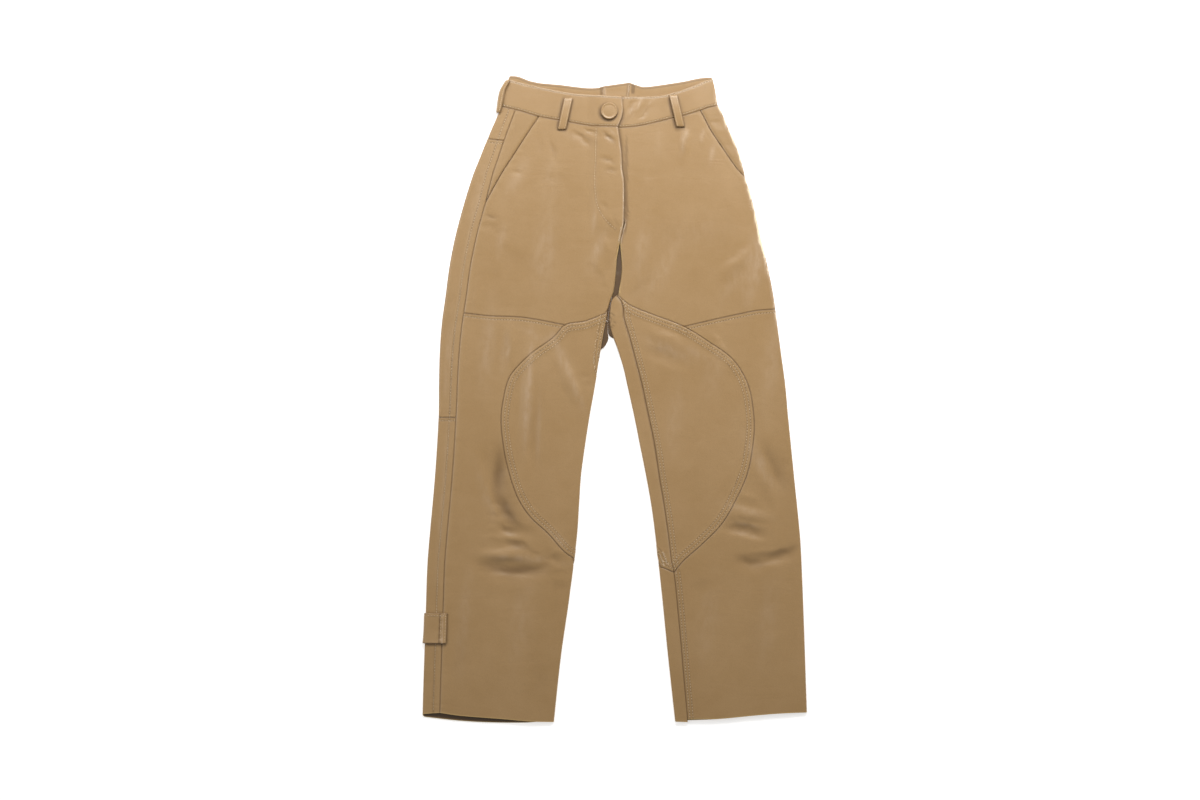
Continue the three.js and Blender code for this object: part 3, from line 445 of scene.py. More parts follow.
# Painted sheen: places drawn paler and a little less rough as painted highlights, or darker as painted shade
# in a
# fold where the strength is below 0: x, y, angle, half length, half width, strength.
sheenAndFoldShade = {
    "top": [
        (-174, -110, 85, 50, 11, -0.60), (-160, -167, -58, 36, 12, -0.80), (-161, -197, -25, 20, 6, -0.45),
        (-145, -219, -17, 24, 7, -0.65), (-182, -252, -17, 30, 8, -0.50), (-142, -257, 0, 38, 8, -0.80),
        (-94, -243, 18, 28, 9, -0.40), (-167, -237, -4, 36, 5, 0.35), (194, -197, -6, 30, 7, -0.35),
        (206, -243, -10, 28, 9, -0.45), (250, -231, 24, 32, 8, -0.50), (140, -275, 10, 34, 14, -0.25),
        (238, -99, -66, 48, 9, -0.30), (200, -189, -12, 28, 4, 0.4), (-8, 391, -40, 14, 3.2, -0.8),
        (-11, 358, -18, 14, 2.6, -0.4), (-5, 343, -2, 13, 2.4, -0.4), (-42, 391, -32, 24, 3, -0.4),
        (-145, 340, -5, 12, 3, -0.4), (-184, 273, -10, 14, 2.6, -0.5), (23, 424, 52, 14, 3, -0.6),
        (-8, 262, -52, 11, 2.6, -0.5), (-92, 372, -76, 20, 3, -0.35), (-104, 222, 84, 70, 20, 0.7),
        (-170, 238, 80, 34, 8, 0.6), (-26, 222, 68, 40, 11, 0.8), (-146, 330, 60, 44, 12, 0.5),
        (-96, 330, 86, 50, 16, 0.35), (-205, 300, 78, 70, 9, 0.5), (-62, 392, -30, 26, 7, 0.4),
        (-2, 398, -40, 12, 3, 0.6), (-30, 270, 84, 30, 4, 0.6), (103, 385, 84, 24, 5, 1.3),
        (66, 384, 84, 24, 6, 0.4), (146, 368, 76, 20, 4, 1.1), (131, 391, 80, 12, 3, 1.1),
        (35, 437, 60, 20, 2.6, 1.6), (52, 441, 50, 20, 2.6, 1.2), (26, 433, 66, 16, 2.2, 1.2),
        (40, 220, 84, 60, 14, 0.5), (70, 190, 60, 60, 16, 0.5), (214, 210, 76, 90, 18, 0.9),
        (180, 180, 60, 60, 14, 0.4), (120, 250, 4, 80, 30, 0.25), (-190, 80, 84, 80, 14, 0.6),
        (-165, 70, 84, 40, 8, 0.5), (-127, 30, 88, 90, 6, 1.0), (-134, -30, 88, 60, 5, 0.8),
        (-78, 60, -66, 50, 9, 0.8), (-56, 10, -70, 36, 7, 0.6), (-90, 96, 30, 40, 8, 0.4),
        (-116, 92, -30, 40, 6, 0.4), (78, 74, -24, 50, 12, 0.6), (118, 70, -30, 40, 10, 0.4),
        (90, -30, 84, 70, 16, 0.35), (150, 40, 70, 60, 22, 0.3), (236, 60, 84, 90, 16, 0.5),
        (218, -96, -62, 60, 12, 0.6), (196, -166, -16, 44, 8, 0.6), (-120, -240, -6, 60, 9, 0.5),
        (-190, -150, -70, 60, 10, 0.4), (-84, -210, -40, 34, 8, 0.5), (-140, -330, 82, 90, 22, 0.3),
        (-226, -330, 84, 90, 12, 0.4), (140, -330, 84, 90, 20, 0.3), (230, -330, 84, 90, 18, 0.3),
        (-250, 60, 86, 100, 6, 0.5), (-258, -160, 86, 120, 6, 0.4),
    ],
    "under": [
        (-14, 461, 92, 9, 1.8, 2.2), (21, 466, 88, 9, 2.0, 2.4), (-60, 260, 80, 70, 24, 0.6),
        (90, 240, 84, 80, 26, 0.6), (150, 330, 70, 50, 14, 0.5), (-130, 320, -70, 50, 16, 0.5),
        (-170, 60, 84, 100, 14, 0.5), (180, 60, 84, 90, 16, 0.5), (-120, -60, 80, 90, 14, 0.6),
        (110, -60, 80, 90, 14, 0.6), (190, -300, 84, 90, 18, 0.4), (-190, -320, 84, 90, 18, 0.4),
        (-60, 120, -30, 50, 12, 0.5), (60, 120, 30, 50, 12, 0.5),
    ],
}

# Places in the shade of what lies on them, in the same terms, with how square their corners are.
shades = {
    "top": [
        (-9.5, 428.5, 0, 15.2, 14.8, 2, 0.8), (-74.6, 426, 78, 25.5, 9, 6, 0.75),
        (92.6, 428, -77, 26.5, 9, 6, 0.75), (-268, -344, 90, 24.2, 18.8, 6, 0.7),
        (17, 325, 89, 70, 3.2, 2, 0.5), (17, 280, 88, 34, 4.0, 2, 0.6),
    ],
    "under": [
        (-20, 461, 92, 10, 2.2, 4, 0.6), (28, 465, 88, 8, 3.0, 4, 0.7),
    ],
}
farAway = 9.0  # in oval lengths, for a point on the other layer


def ovals(rows, outer, half, w, y):
    # How far each point is from the middle of each row's oval, along it and across it, in its own sizes.
    x, flatY = outer[:, 0] + cut["centre"][0], outer[:, 1] + cut["centre"][1]
    under = wayRound(half, w, y) < 0
    for layer, ownRows in rows.items():
        away = np.where(under == (layer == "under"), 0, farAway)
        for atX, atY, angle, length, width, *rest in ownRows:
            c, s = np.cos(np.radians(angle)), np.sin(np.radians(angle))
            down = np.abs((x - atX) * c + (flatY - atY) * s) / length
            across = np.abs((flatY - atY) * c - (x - atX) * s) / width
            yield down + away, across, rest


# The painted highlight line along the outer folds: its strength on each half, where it lies from the edge,
# and where it ends.
foldHighlight = {"Right": 0.4, "Left": 2.6, "fromEdge": 1.5, "width": 1.6, "lowY": 90, "highY": 470,
            "fade": (60, 30)}


def paintedLightAt(outer, half, w, y):
    # Painted sheen highlights and painted fold shade as soft ovals, and a painted highlight line along the
    # outer folds, strongest on the left.
    found = np.zeros(len(w))
    for down, across, (strength,) in ovals(sheenAndFoldShade, outer, half, w, y):
        found += strength * np.exp(-2 * (down ** 2 + across ** 2))
    span, radius = cut["foldSpan"], cut["foldRadius"]
    inward = np.where(w < span, radius * (1 - np.cos(np.clip(w / span, 0, 1) * np.pi / 2)), radius + w - span)
    lowFade, highFade = foldHighlight["fade"]
    ends = smoothStep((y - foldHighlight["lowY"]) / lowFade) * smoothStep((foldHighlight["highY"] - y) / highFade)
    highlight = np.exp(-((inward - foldHighlight["fromEdge"]) / foldHighlight["width"]) ** 2) * (w > 0) * ends
    return np.clip(found, -1, 1.4) + foldHighlight[half["name"]] * highlight


shadeEdge = {"full": 0.82, "none": 1.12}  # shares of a place's size


def shadedAt(outer, half, w, y):
    # Nearly even over each place, and fading across its edge.
    found = np.zeros(len(w))
    for down, across, (corners, strength) in ovals(shades, outer, half, w, y):
        far = (np.minimum(down, 3) ** corners + np.minimum(across, 3) ** corners) ** (1 / corners)
        inside = (shadeEdge["none"] - far) / (shadeEdge["none"] - shadeEdge["full"])
        found = np.maximum(found, strength * smoothStep(inside))
    return found


def creased(layer, x, y):
    # Along its bowed line each crease is a bell of one width on its steep side and another on its soft
    # side, (1 - down^2)^2 along it, with a slow wander so that no two look alike.
    height = np.zeros_like(x)
    first = len(creases["top"]) if layer == "under" else 0
    for number, (atX, atY, angle, length, steep, soft, tall, bow) in enumerate(creases[layer], first):
        near = np.hypot(x - atX, y - atY) < length + 3 * soft
        px, py = x[near] - atX, y[near] - atY
        c, s = np.cos(np.radians(angle)), np.sin(np.radians(angle))
        down = np.clip((px * c + py * s) / length, -1, 1)
        across = py * c - px * s - bow * (1 - down ** 2)
        across = across + 0.18 * soft * np.sin(5.1 * down + number)
        across = across + 0.1 * soft * np.sin(11.3 * down + 2 * number)
        width = np.where(across > 0, steep, soft) * (1 - 0.35 * down * np.cos(number))
        height[near] += tall * (1 - down ** 2) ** 2 * np.exp(-(across / width) ** 2)
    return height


# How far from a sewn edge the fine steps lie, and the least step between two columns or rows.
besideSeam = np.array([0.4, 0.9, 1.5, 2.2, 3.0, 4.0, 5.0, 6.2, 7.5, 9.0, 10.5, 12.0, 13.5, 15.5, 18.0])
leastStep = 0.28


def finePlaces(count, length, start, end, knots):
    # Even steps, with finer ones beside the sewn edges and at the corners of the outline.
    gap = cut["gap"] / length
    places = [np.linspace(gap, 1 - gap, count + 1)]
    close = besideSeam / length + gap
    close = close[close < 0.45]
    if start:
        places.append(close)
    if end:
        places.append(1 - close)
    places = np.sort(np.concatenate([*places, np.asarray(knots, float)]))
    keep = np.concatenate([[True], np.diff(places) > leastStep / length])
    keep[-1] = True
    return places[keep]


def coons(top, bottom, left, right, u, v):
    # The four edges blended over the grid, less the blend of the four corners.
    across, down = u[None, :, None], v[:, None, None]
    ends = np.array([0.0, 1.0])
    topEnds, bottomEnds = top(ends), bottom(ends)
    edges = (1 - down) * top(u)[None] + down * bottom(u)[None]
    edges = edges + (1 - across) * left(v)[:, None] + across * right(v)[:, None]
    corners = (1 - down) * ((1 - across) * topEnds[0] + across * topEnds[1])
    corners = corners + down * ((1 - across) * bottomEnds[0] + across * bottomEnds[1])
    return edges - corners


def nearest(points, line):
    # Distance from each point to a line through given places, and how far along the line that is.
    start, step = line[:-1], np.diff(line, axis=0)
    long = np.maximum((step ** 2).sum(1), 1e-9)
    before = np.concatenate([[0], np.cumsum(np.sqrt(long))[:-1]])
    distance = np.full(len(points), 1e3)
    arc = np.zeros(len(points))
    low, high = line.min(0) - 30, line.max(0) + 30
    inside = np.nonzero(np.all((points > low) & (points < high), axis=1))[0]
    for some in np.array_split(inside, max(1, len(inside) // 6000)):
        away = points[some][:, None, :] - start[None]
        t = np.clip((away * step[None]).sum(2) / long, 0, 1)
        far = np.linalg.norm(away - t[..., None] * step[None], axis=2)
        best = far.argmin(1)
        row = np.arange(len(some))
        distance[some] = far[row, best]
        arc[some] = before[best] + t[row, best] * np.sqrt(long[best])
    return distance, arc


def unrolled(half, w, y):
    # How far round the leather a spot is, with the folds at their real length.
    span, flat, a = cut["foldSpan"], flatWidth(half, y), np.abs(w)
    k = (cut["foldRadius"] - cut["leather"] / 2) * np.pi / 2 / span
    flat = np.where((y > cut["crotchTop"]) | ((w < 0) & (y > cut["crotchEnd"])), 1e3, flat)
    s = k * np.minimum(a, span) + np.clip(a - span, 0, flat) + k * np.clip(a - span - flat, 0, 2 * span)
    return np.sign(w) * (s + np.maximum(a - 3 * span - flat, 0))


def spread(half, w, y):
    # The leather laid out flat: how far round it a spot is, and its y.
    return np.stack([unrolled(half, w, y), y], axis=-1)


def lineOf(half, curve, count=260):
    spotsAlong = curve(np.linspace(0, 1, count))
    return spread(half, spotsAlong[:, 0], spotsAlong[:, 1])


# How a panel lies at an edge: how deep it rolls in, its raised allowance, its stitch rows, how dark the line
# in the seam is (painted shade in the 'shaded' form), and the painted highlight on the edge beside it.
plainEdge = {"dip": 0.0, "dipWidth": 1.0, "band": 0, "raise": 0.0, "rows": (), "crack": 0.0,
             "crackWidth": 0.95, "shine": 0.0}
seamForms = {
    "plain": {"dip": 0.55, "crack": 0.75},
    "tucked": {"dip": 0.12, "dipWidth": 0.9, "crack": 0.85},
    "pressed": {"dip": 0.7, "dipWidth": 1.1, "band": 8, "raise": 0.12, "crack": 0.85, "shine": 0.5},
    "felled": {"dip": 0.9, "band": 13, "raise": 0.36, "rows": (5.4, 10.6), "crack": 0.95},
    "twin": {"dip": 0.9, "band": 10.5, "raise": 0.36, "rows": (3.6, 8.4), "crack": 0.85},
    "single": {"dip": 1.0, "dipWidth": 1.1, "band": 12, "raise": 0.34, "rows": (9.6,), "crack": 0.5},
    "under": {"dip": 1.1, "dipWidth": 1.6, "crack": 1.0},
    "narrow": {"dip": 0.1, "dipWidth": 0.9, "band": 7, "rows": (4.6,), "crack": 0.85},
    "edge": {"dip": 1.0, "dipWidth": 0.9, "crack": 0.1, "shine": 1.5},
    "edgeSewn": {"dip": 0.9, "rows": (2.6,), "crack": 0.3, "shine": 0.8},
    "bandSewn": {"dip": 0.9, "rows": (2.6,), "crack": 0.6},
    "shaded": {"dip": 0.7, "dipWidth": 3.2, "crack": 0.95, "crackWidth": 3.0},
    "stitched": {"dip": 0.25, "dipWidth": 0.9, "crack": 0.3},
    "raw": {},
}
for formName, formValues in seamForms.items():
    seamForms[formName] = {**plainEdge, **formValues}
sewing = {
    "reach": 34,            # how far from an edge its form acts
    "edgeFade": 3,          # how the raised allowance ends
    "pucker": 0.14,
    "grooveDepth": 0.26,
    "grooveWidth": 0.75,
    "broadWidth": 5.0,      # of the paler rub beside a seam
    "cutEdgeWidth": 1.1,
    # Where the painted highlight beside an edge lies, and how wide it is.
    "shineFrom": 1.3,
    "shineWidth": 0.9,
    "liftFade": 9,          # of the leather that a raised allowance lifts off the floor
    "creaseShade": 0.11,    # painted shade for each millimetre of a crease's depth
    "foldShade": 0.03,
    "deepest": 3,           # depth past which a crease darkens no more
    "air": 0.3,             # what the front keeps over the back, and its least room to sink
    "leastRoom": 0.5,
    "softness": 0.3,        # how gently it stops there
    "rubShade": 0.62,       # painted shade from a sheen place whose strength is below 0
    "turnRelief": (-0.7, 0.8),  # how deep and how high a form may be where the leather turns
    "turnReach": 6,
    "offFloor": 0.15,       # how far the inner face stays inside the fold
}


def relief(half, w, y, lines, thin=1.0):
    # The height over the plain leather: creases, and at each edge a raised allowance, its stitch rows
    # pressed in, a slow pucker, and a roll down into the seam. Underneath, the leather beside a raised
    # allowance lifts off the floor, which is as low as anything goes. On top the front stays over the back:
    # the room it has and its height add up to a sum s, which becomes half of s + sqrt(s^2 + softness^2).
    base = place(half, w, y)
    x, flatY = base[:, 0] + cut["centre"][0], base[:, 1] + cut["centre"][1]
    under = wayRound(half, w, y) < 0
    height = np.where(under, creased("under", x, flatY), creased("top", x, flatY)) * thin
    marks = {title: np.zeros(len(w)) for title in ("seam", "crack", "row", "cutEdge", "shine")}
    deepest = sewing["deepest"]
    # Painted shade in the creases and the soft folds, by their depth.
    softDepth = np.where(under, 0, np.clip(-bump(x, flatY, softFolds), 0, deepest))
    marks["crack"] += sewing["creaseShade"] * np.clip(-height, 0, deepest) + sewing["foldShade"] * softDepth
    lifted, laidOut = np.zeros(len(w)), spread(half, w, y)
    for number, (line, formName) in enumerate(lines):
        form = seamForms[formName]
        distance, arc = nearest(laidOut, line)
        close = distance < sewing["reach"]
        d, a = distance[close], arc[close]
        add = np.zeros(len(d))
        if form["band"]:
            add += form["raise"] * (1 - smoothStep((d - form["band"]) / sewing["edgeFade"] + 0.5))
            pucker = np.sin(a * 0.55 + 3 * np.sin(a * 0.071 + number)) * np.sin(a * 0.117 + 1.7 * number)
            middle = 0.6 * form["band"]
            add += sewing["pucker"] * pucker * np.exp(-((d - middle) / middle) ** 2)
        found = {"row": np.zeros(len(d))}
        for row in form["rows"]:
            groove = np.exp(-((d - row) / sewing["grooveWidth"]) ** 2)
            add -= sewing["grooveDepth"] * groove
            found["row"] = np.maximum(found["row"], groove)
        add -= form["dip"] * np.exp(-(d / form["dipWidth"]) ** 2)
        height[close] += add
        if formName == "raw":
            found["cutEdge"] = np.exp(-(d / sewing["cutEdgeWidth"]) ** 2)
        broad = np.exp(-(d / sewing["broadWidth"]) ** 2) * (form["crack"] > 0)
        found["seam"] = broad * (1.0 if form["band"] else 0.3)
        # The dark line in the seam, which in the 'shaded' form is a wide painted shade.
        found["crack"] = form["crack"] * np.exp(-(d / form["crackWidth"]) ** 2)
        # A painted highlight just beside the edge.
        found["shine"] = form["shine"] * np.exp(-((d - sewing["shineFrom"]) / sewing["shineWidth"]) ** 2)
        for title, values in found.items():
            marks[title][close] = np.maximum(marks[title][close], values)
        if form["rows"]:
            past = np.maximum(d - form["band"] - 2, 0)
            reach = (form["raise"] + 0.3) * np.exp(-(past / sewing["liftFade"]) ** 2)
            lifted[close] = np.maximum(lifted[close], reach)
    down = facesDown(half, w, y)
    toFloor = cut["foldRadius"] / np.maximum(down, 1e-3) - cut["foldRadius"]
    height = np.minimum(height - lifted * down, toFloor)
    way = wayRound(half, w, y) - cut["foldSpan"]
    onTop = (way > 0) & ((way < flatWidth(half, y)) | (y > cut["crotchTop"]))
    room = np.maximum(base[:, 2] - 2 * cut["leather"] - sewing["air"], sewing["leastRoom"])
    spare = height + room
    kept = (spare + np.sqrt(spare ** 2 + sewing["softness"] ** 2)) / 2 - room
    return np.where(onTop, kept, height), marks


def linked(name, data):
    made = bpy.data.objects.new(name, data)
    bpy.context.scene.collection.objects.link(made)
    return made


def meshFrom(name, verts, faces, smooth, attributes=()):
    mesh = bpy.data.meshes.new(name)
    mesh.vertices.add(len(verts))
    mesh.vertices.foreach_set("co", (np.asarray(verts, float) * mm).astype(np.float32).ravel())
    sizes = np.concatenate([np.full(len(group), group.shape[1]) for group in faces])
    corners = np.concatenate([group.ravel() for group in faces])
    mesh.loops.add(len(corners))
    mesh.loops.foreach_set("vertex_index", corners.astype(np.int32))
    mesh.polygons.add(len(sizes))
    mesh.polygons.foreach_set("loop_start", np.concatenate([[0], np.cumsum(sizes)[:-1]]).astype(np.int32))
    mesh.polygons.foreach_set("use_smooth", np.asarray(smooth, bool))
    mesh.update(calc_edges=True)
    for title, values in attributes:
        mesh.attributes.new(title, "FLOAT", "POINT").data.foreach_set("value", np.asarray(values, np.float32))
    mesh.validate()
    return linked(name, mesh)


def gridFaces(rows, columns, offset=0):
    index = np.arange(rows * columns).reshape(rows, columns) + offset
    return np.stack([index[:-1, :-1], index[1:, :-1], index[1:, 1:], index[:-1, 1:]], axis=-1).reshape(-1, 4)


def sortedCells(quads):
    # The cells with four corners, and as triangles those with two corners in one place.
    same = quads == np.roll(quads, -1, axis=1)
    once = same.sum(1) == 1
    order = (np.argmax(same[once], axis=1)[:, None] + np.arange(1, 4)) % 4
    return quads[same.sum(1) == 0], np.take_along_axis(quads[once], order, axis=1)


def welded(grids):
    # Spots that grids share are one, and a cell that has lost a side there becomes a triangle.
    flat, quads, start = [], [], 0
    for grid in grids:
        rows, columns = grid.shape[:2]
        flat.append(grid.reshape(-1, 2))
        quads.append(gridFaces(rows, columns, start))
        start += rows * columns
    flat, quads = np.concatenate(flat), np.concatenate(quads)
    _, first, back = np.unique(np.round(flat, 3), axis=0, return_index=True, return_inverse=True)
    return flat[first], *sortedCells(back.ravel()[quads])


def openEdges(groups, count):
    edges = [np.stack([group, np.roll(group, -1, axis=1)], axis=-1).reshape(-1, 2) for group in groups]
    edges = np.concatenate(edges)
    key, twin = edges[:, 0] * count + edges[:, 1], edges[:, 1] * count + edges[:, 0]
    return edges[~np.isin(key, twin)]


def triangles(verts, groups):
    for group in groups:
        for k in range(1, group.shape[1] - 1):
            yield verts[group[:, 0]], verts[group[:, k]], verts[group[:, k + 1]]


def volumeOf(verts, groups):
    return sum(np.einsum("ij,ij->", a, np.cross(b, c)) for a, b, c in triangles(verts, groups)) / 6


def areaOf(verts, groups):
    halved = (np.cross(b - a, c - a) / 2 for a, b, c in triangles(verts, groups))
    return sum(np.linalg.norm(one, axis=1).sum() for one in halved)


def facingOut(verts, faces):
    return [group[:, ::-1] for group in faces] if volumeOf(verts, faces) < 0 else faces


def shell(name, outer, inner, groups, attributes):
    # The outer points, the inner ones and a flat rim between them, turned so that every face looks out.
    count = len(outer)
    edges = openEdges(groups, count)
    rim = np.stack([edges[:, 1], edges[:, 0], edges[:, 0] + count, edges[:, 1] + count], axis=1)
    verts = np.concatenate([outer, inner])
    faces = facingOut(verts, [*groups, *(group[:, ::-1] + count for group in groups), rim])
    faces = [group for group in faces if len(group)]
    smooth = np.concatenate([np.full(len(group), group is not faces[-1]) for group in faces])
    doubledAttributes = [(title, np.concatenate([values, values])) for title, values in attributes]
    # The inner faces carry the flesh side's colour, darkened as painted shade inside the legs.
    doubledAttributes.append(("flesh", np.repeat([0.0, 1.0], count)))
    return meshFrom(name, verts, faces, smooth, doubledAttributes)


thread = {
    "pitch": 4.4, "length": 3.0, "radius": 0.42, "jitter": 0.08, "stand": 0.04, "wander": 0.12,
    # The rings of one stitch: their place along it, their share of the radius and how deep they sink.
    "rings": [-0.5, -0.38, -0.16, 0.16, 0.38, 0.5], "fat": [0.25, 0.8, 1.0, 1.0, 0.8, 0.25],
    "sink": [-0.44, -0.096, 0.04, 0.04, -0.096, -0.44],
}
chance = np.random.default_rng(11)


def rowSpots(half, curve, offset, centre, count=900):
    # A curve moved inward by an offset: square to itself, in real length, towards the panel's middle.
    found = curve(np.linspace(0, 1, count))
    if offset == 0:
        return found
    scale = realPerW(half, found[:, 0], found[:, 1])
    dw, dy = np.gradient(found[:, 0]) * scale, np.gradient(found[:, 1])
    long = np.maximum(np.hypot(dw, dy), 1e-6)
    normal = np.stack([-dy / long, dw / long], axis=1)
    facing = np.sign(np.sum(normal * (centre - found), axis=1))
    normal = normal * (1 if np.sum(facing) >= 0 else -1)
    for _ in range(24):
        scale = realPerW(half, found[:, 0], found[:, 1])
        found = found + normal * (offset / 24) / np.stack([scale, np.ones(count)], axis=1)
    return found


def insideOf(flat, edges, w, y):
    # Whether a ray from each spot crosses the panel's outline an odd number of times.
    a, b = flat[edges[:, 0]], flat[edges[:, 1]]
    crosses = (a[:, 1] > y[:, None]) != (b[:, 1] > y[:, None])
    climb = np.where(np.abs(b[:, 1] - a[:, 1]) < 1e-9, 1e-9, b[:, 1] - a[:, 1])
    at = a[:, 0] + (y[:, None] - a[:, 1]) / climb * (b[:, 0] - a[:, 0])
    return np.sum(crosses & (at > w[:, None]), axis=1) % 2 == 1


def stitchesAlong(half, found, heightOf, trim=(1.5, 1.5), pitch=None, outline=None):
    # One small lens-shaped thread for each stitch, laid along the row and dipping in at both ends.
    pitch = pitch or thread["pitch"]
    w, y = found[:, 0], found[:, 1]
    line = place(half, w, y)
    arc = np.concatenate([[0], np.cumsum(np.linalg.norm(np.diff(line, axis=0), axis=1))])
    at = np.arange(trim[0], arc[-1] - trim[1], pitch)
    at = at + chance.uniform(-thread["wander"], thread["wander"], len(at))
    if outline:
        at = at[insideOf(*outline, np.interp(at, arc, w), np.interp(at, arc, y))]
    if not len(at):
        return None
    rings, fat, sink = (np.array(thread[title]) for title in ("rings", "fat", "sink"))
    sides = np.arange(4) * np.pi / 2 + np.pi / 4
    middle = np.interp(at, arc, w), np.interp(at, arc, y)
    height = heightOf(*middle) + thread["stand"]
    here = place(half, middle[0], middle[1], height)
    up = place(half, middle[0], middle[1], height + 0.5) - here
    up /= np.linalg.norm(up, axis=1)[:, None]
    ahead = np.interp(at + 1, arc, w), np.interp(at + 1, arc, y)
    behind = np.interp(at - 1, arc, w), np.interp(at - 1, arc, y)
    tangent = place(half, *ahead, heightOf(*ahead)) - place(half, *behind, heightOf(*behind))
    tangent /= np.maximum(np.linalg.norm(tangent, axis=1)[:, None], 1e-6)
    side = np.cross(up, tangent)
    tangent = tangent + side * chance.uniform(-thread["jitter"], thread["jitter"], len(at))[:, None]
    length = thread["length"] * pitch / thread["pitch"]
    radius = thread["radius"]
    verts = here[:, None, None] + tangent[:, None, None] * (rings * length)[None, :, None, None]
    verts = verts + up[:, None, None] * sink[None, :, None, None]
    verts = verts + side[:, None, None] * (fat[:, None] * np.cos(sides) * radius)[None, :, :, None]
    verts = verts + up[:, None, None] * (fat[:, None] * np.sin(sides) * radius)[None, :, :, None]
    verts[..., 2] = np.maximum(verts[..., 2], 0.0)
    count, each = len(at), 4 * len(rings)
    base = np.arange(count)[:, None, None] * each
    ring = np.arange(len(rings) - 1)[None, :, None] * 4
    turn = np.arange(4)[None, None, :]
    a, b = base + ring + turn, base + ring + (turn + 1) % 4
    walls = np.stack([a, b, b + 4, a + 4], axis=-1).reshape(-1, 4)
    first, last = base[:, 0] + [3, 2, 1, 0], base[:, 0] + each - 4 + [0, 1, 2, 3]
    faces = np.concatenate([walls, first, last])
    return verts.reshape(-1, 3), faces


def stitchPiece(name, rows):
    rows = [row for row in rows if row is not None]
    if not rows:
        return None
    starts = np.concatenate([[0], np.cumsum([len(verts) for verts, _ in rows])[:-1]])
    verts = np.concatenate([verts for verts, _ in rows])
    faces = np.concatenate([found + start for (_, found), start in zip(rows, starts)])
    piece = meshFrom(name, verts, facingOut(verts, [faces]), np.ones(len(faces), bool))
    dress(piece, "thread")
    return piece


finishes = {}
hide = {
    "panel": {"colour": (0.398, 0.244, 0.102), "tint": (0.443, 0.279, 0.127), "roughness": 0.41, "coat": 0.22,
              "grain": 0.22, "wrinkle": 0.30},
    "patch": {"colour": (0.401, 0.246, 0.104), "tint": (0.449, 0.284, 0.131), "roughness": 0.40, "coat": 0.24,
              "grain": 0.22, "wrinkle": 0.28},
    "facing": {"colour": (0.388, 0.239, 0.100), "tint": (0.431, 0.272, 0.124), "roughness": 0.43, "coat": 0.2,
               "grain": 0.25, "wrinkle": 0.35},
    "trim": {"colour": (0.405, 0.250, 0.107), "tint": (0.455, 0.290, 0.137), "roughness": 0.39, "coat": 0.26,
             "grain": 0.2, "wrinkle": 0.22, "lined": True},  # faced with leather inside as well
}
# The dark line colour also serves as painted shade, the flesh colour is darkened to stand for painted shade
# inside the legs, and the rub colour is a painted highlight.
hideMarks = {  # the colours that marks on the leather blend to
    "seam": (0.47, 0.315, 0.165), "crack": (0.125, 0.068, 0.026), "row": (0.17, 0.10, 0.04),
    "rub": (0.60, 0.455, 0.335), "flesh": (0.085, 0.050, 0.026), "cutEdge": (0.62, 0.43, 0.17),
}
# The glint colour is a painted glint where the painted highlight is strongest.
poreColour, glintColour = (0.20, 0.115, 0.045), (0.95, 0.80, 0.56)


def socket(tree, name, kind, way, value=None):
    made = tree.interface.new_socket(name=name, in_out=way, socket_type=kind)
    if value is not None:
        made.default_value = value
    return made


def node(tree, kind, inputs=(), **settings):
    made = tree.nodes.new(kind)
    for key, value in settings.items():
        setattr(made, key, value)
    for key, value in dict(inputs).items():
        if isinstance(value, bpy.types.NodeSocket):
            tree.links.new(value, made.inputs[key])
        else:
            made.inputs[key].default_value = value
    return made


def ramp(tree, fac, stops):
    made = node(tree, "ShaderNodeValToRGB", {"Fac": fac})
    elements = made.color_ramp.elements
    while len(elements) < len(stops):
        elements.new(0.5)
    for element, (at, value) in zip(elements, stops):
        element.position = at
        element.color = (value, value, value, 1)
    return made.outputs["Color"]


def mixed(tree, fac, a, b, kind="MIX"):
    made = node(tree, "ShaderNodeMix", data_type="RGBA", blend_type=kind, clamp_factor=True)
    for index, value in ((0, fac), (6, a), (7, b)):
        if isinstance(value, bpy.types.NodeSocket):
            tree.links.new(value, made.inputs[index])
        else:
            made.inputs[index].default_value = value
    return made.outputs[2]


def maths(tree, operation, a, b=0.5):
    made = node(tree, "ShaderNodeMath", {0: a, 1: b}, operation=operation)
    return made.outputs[0]


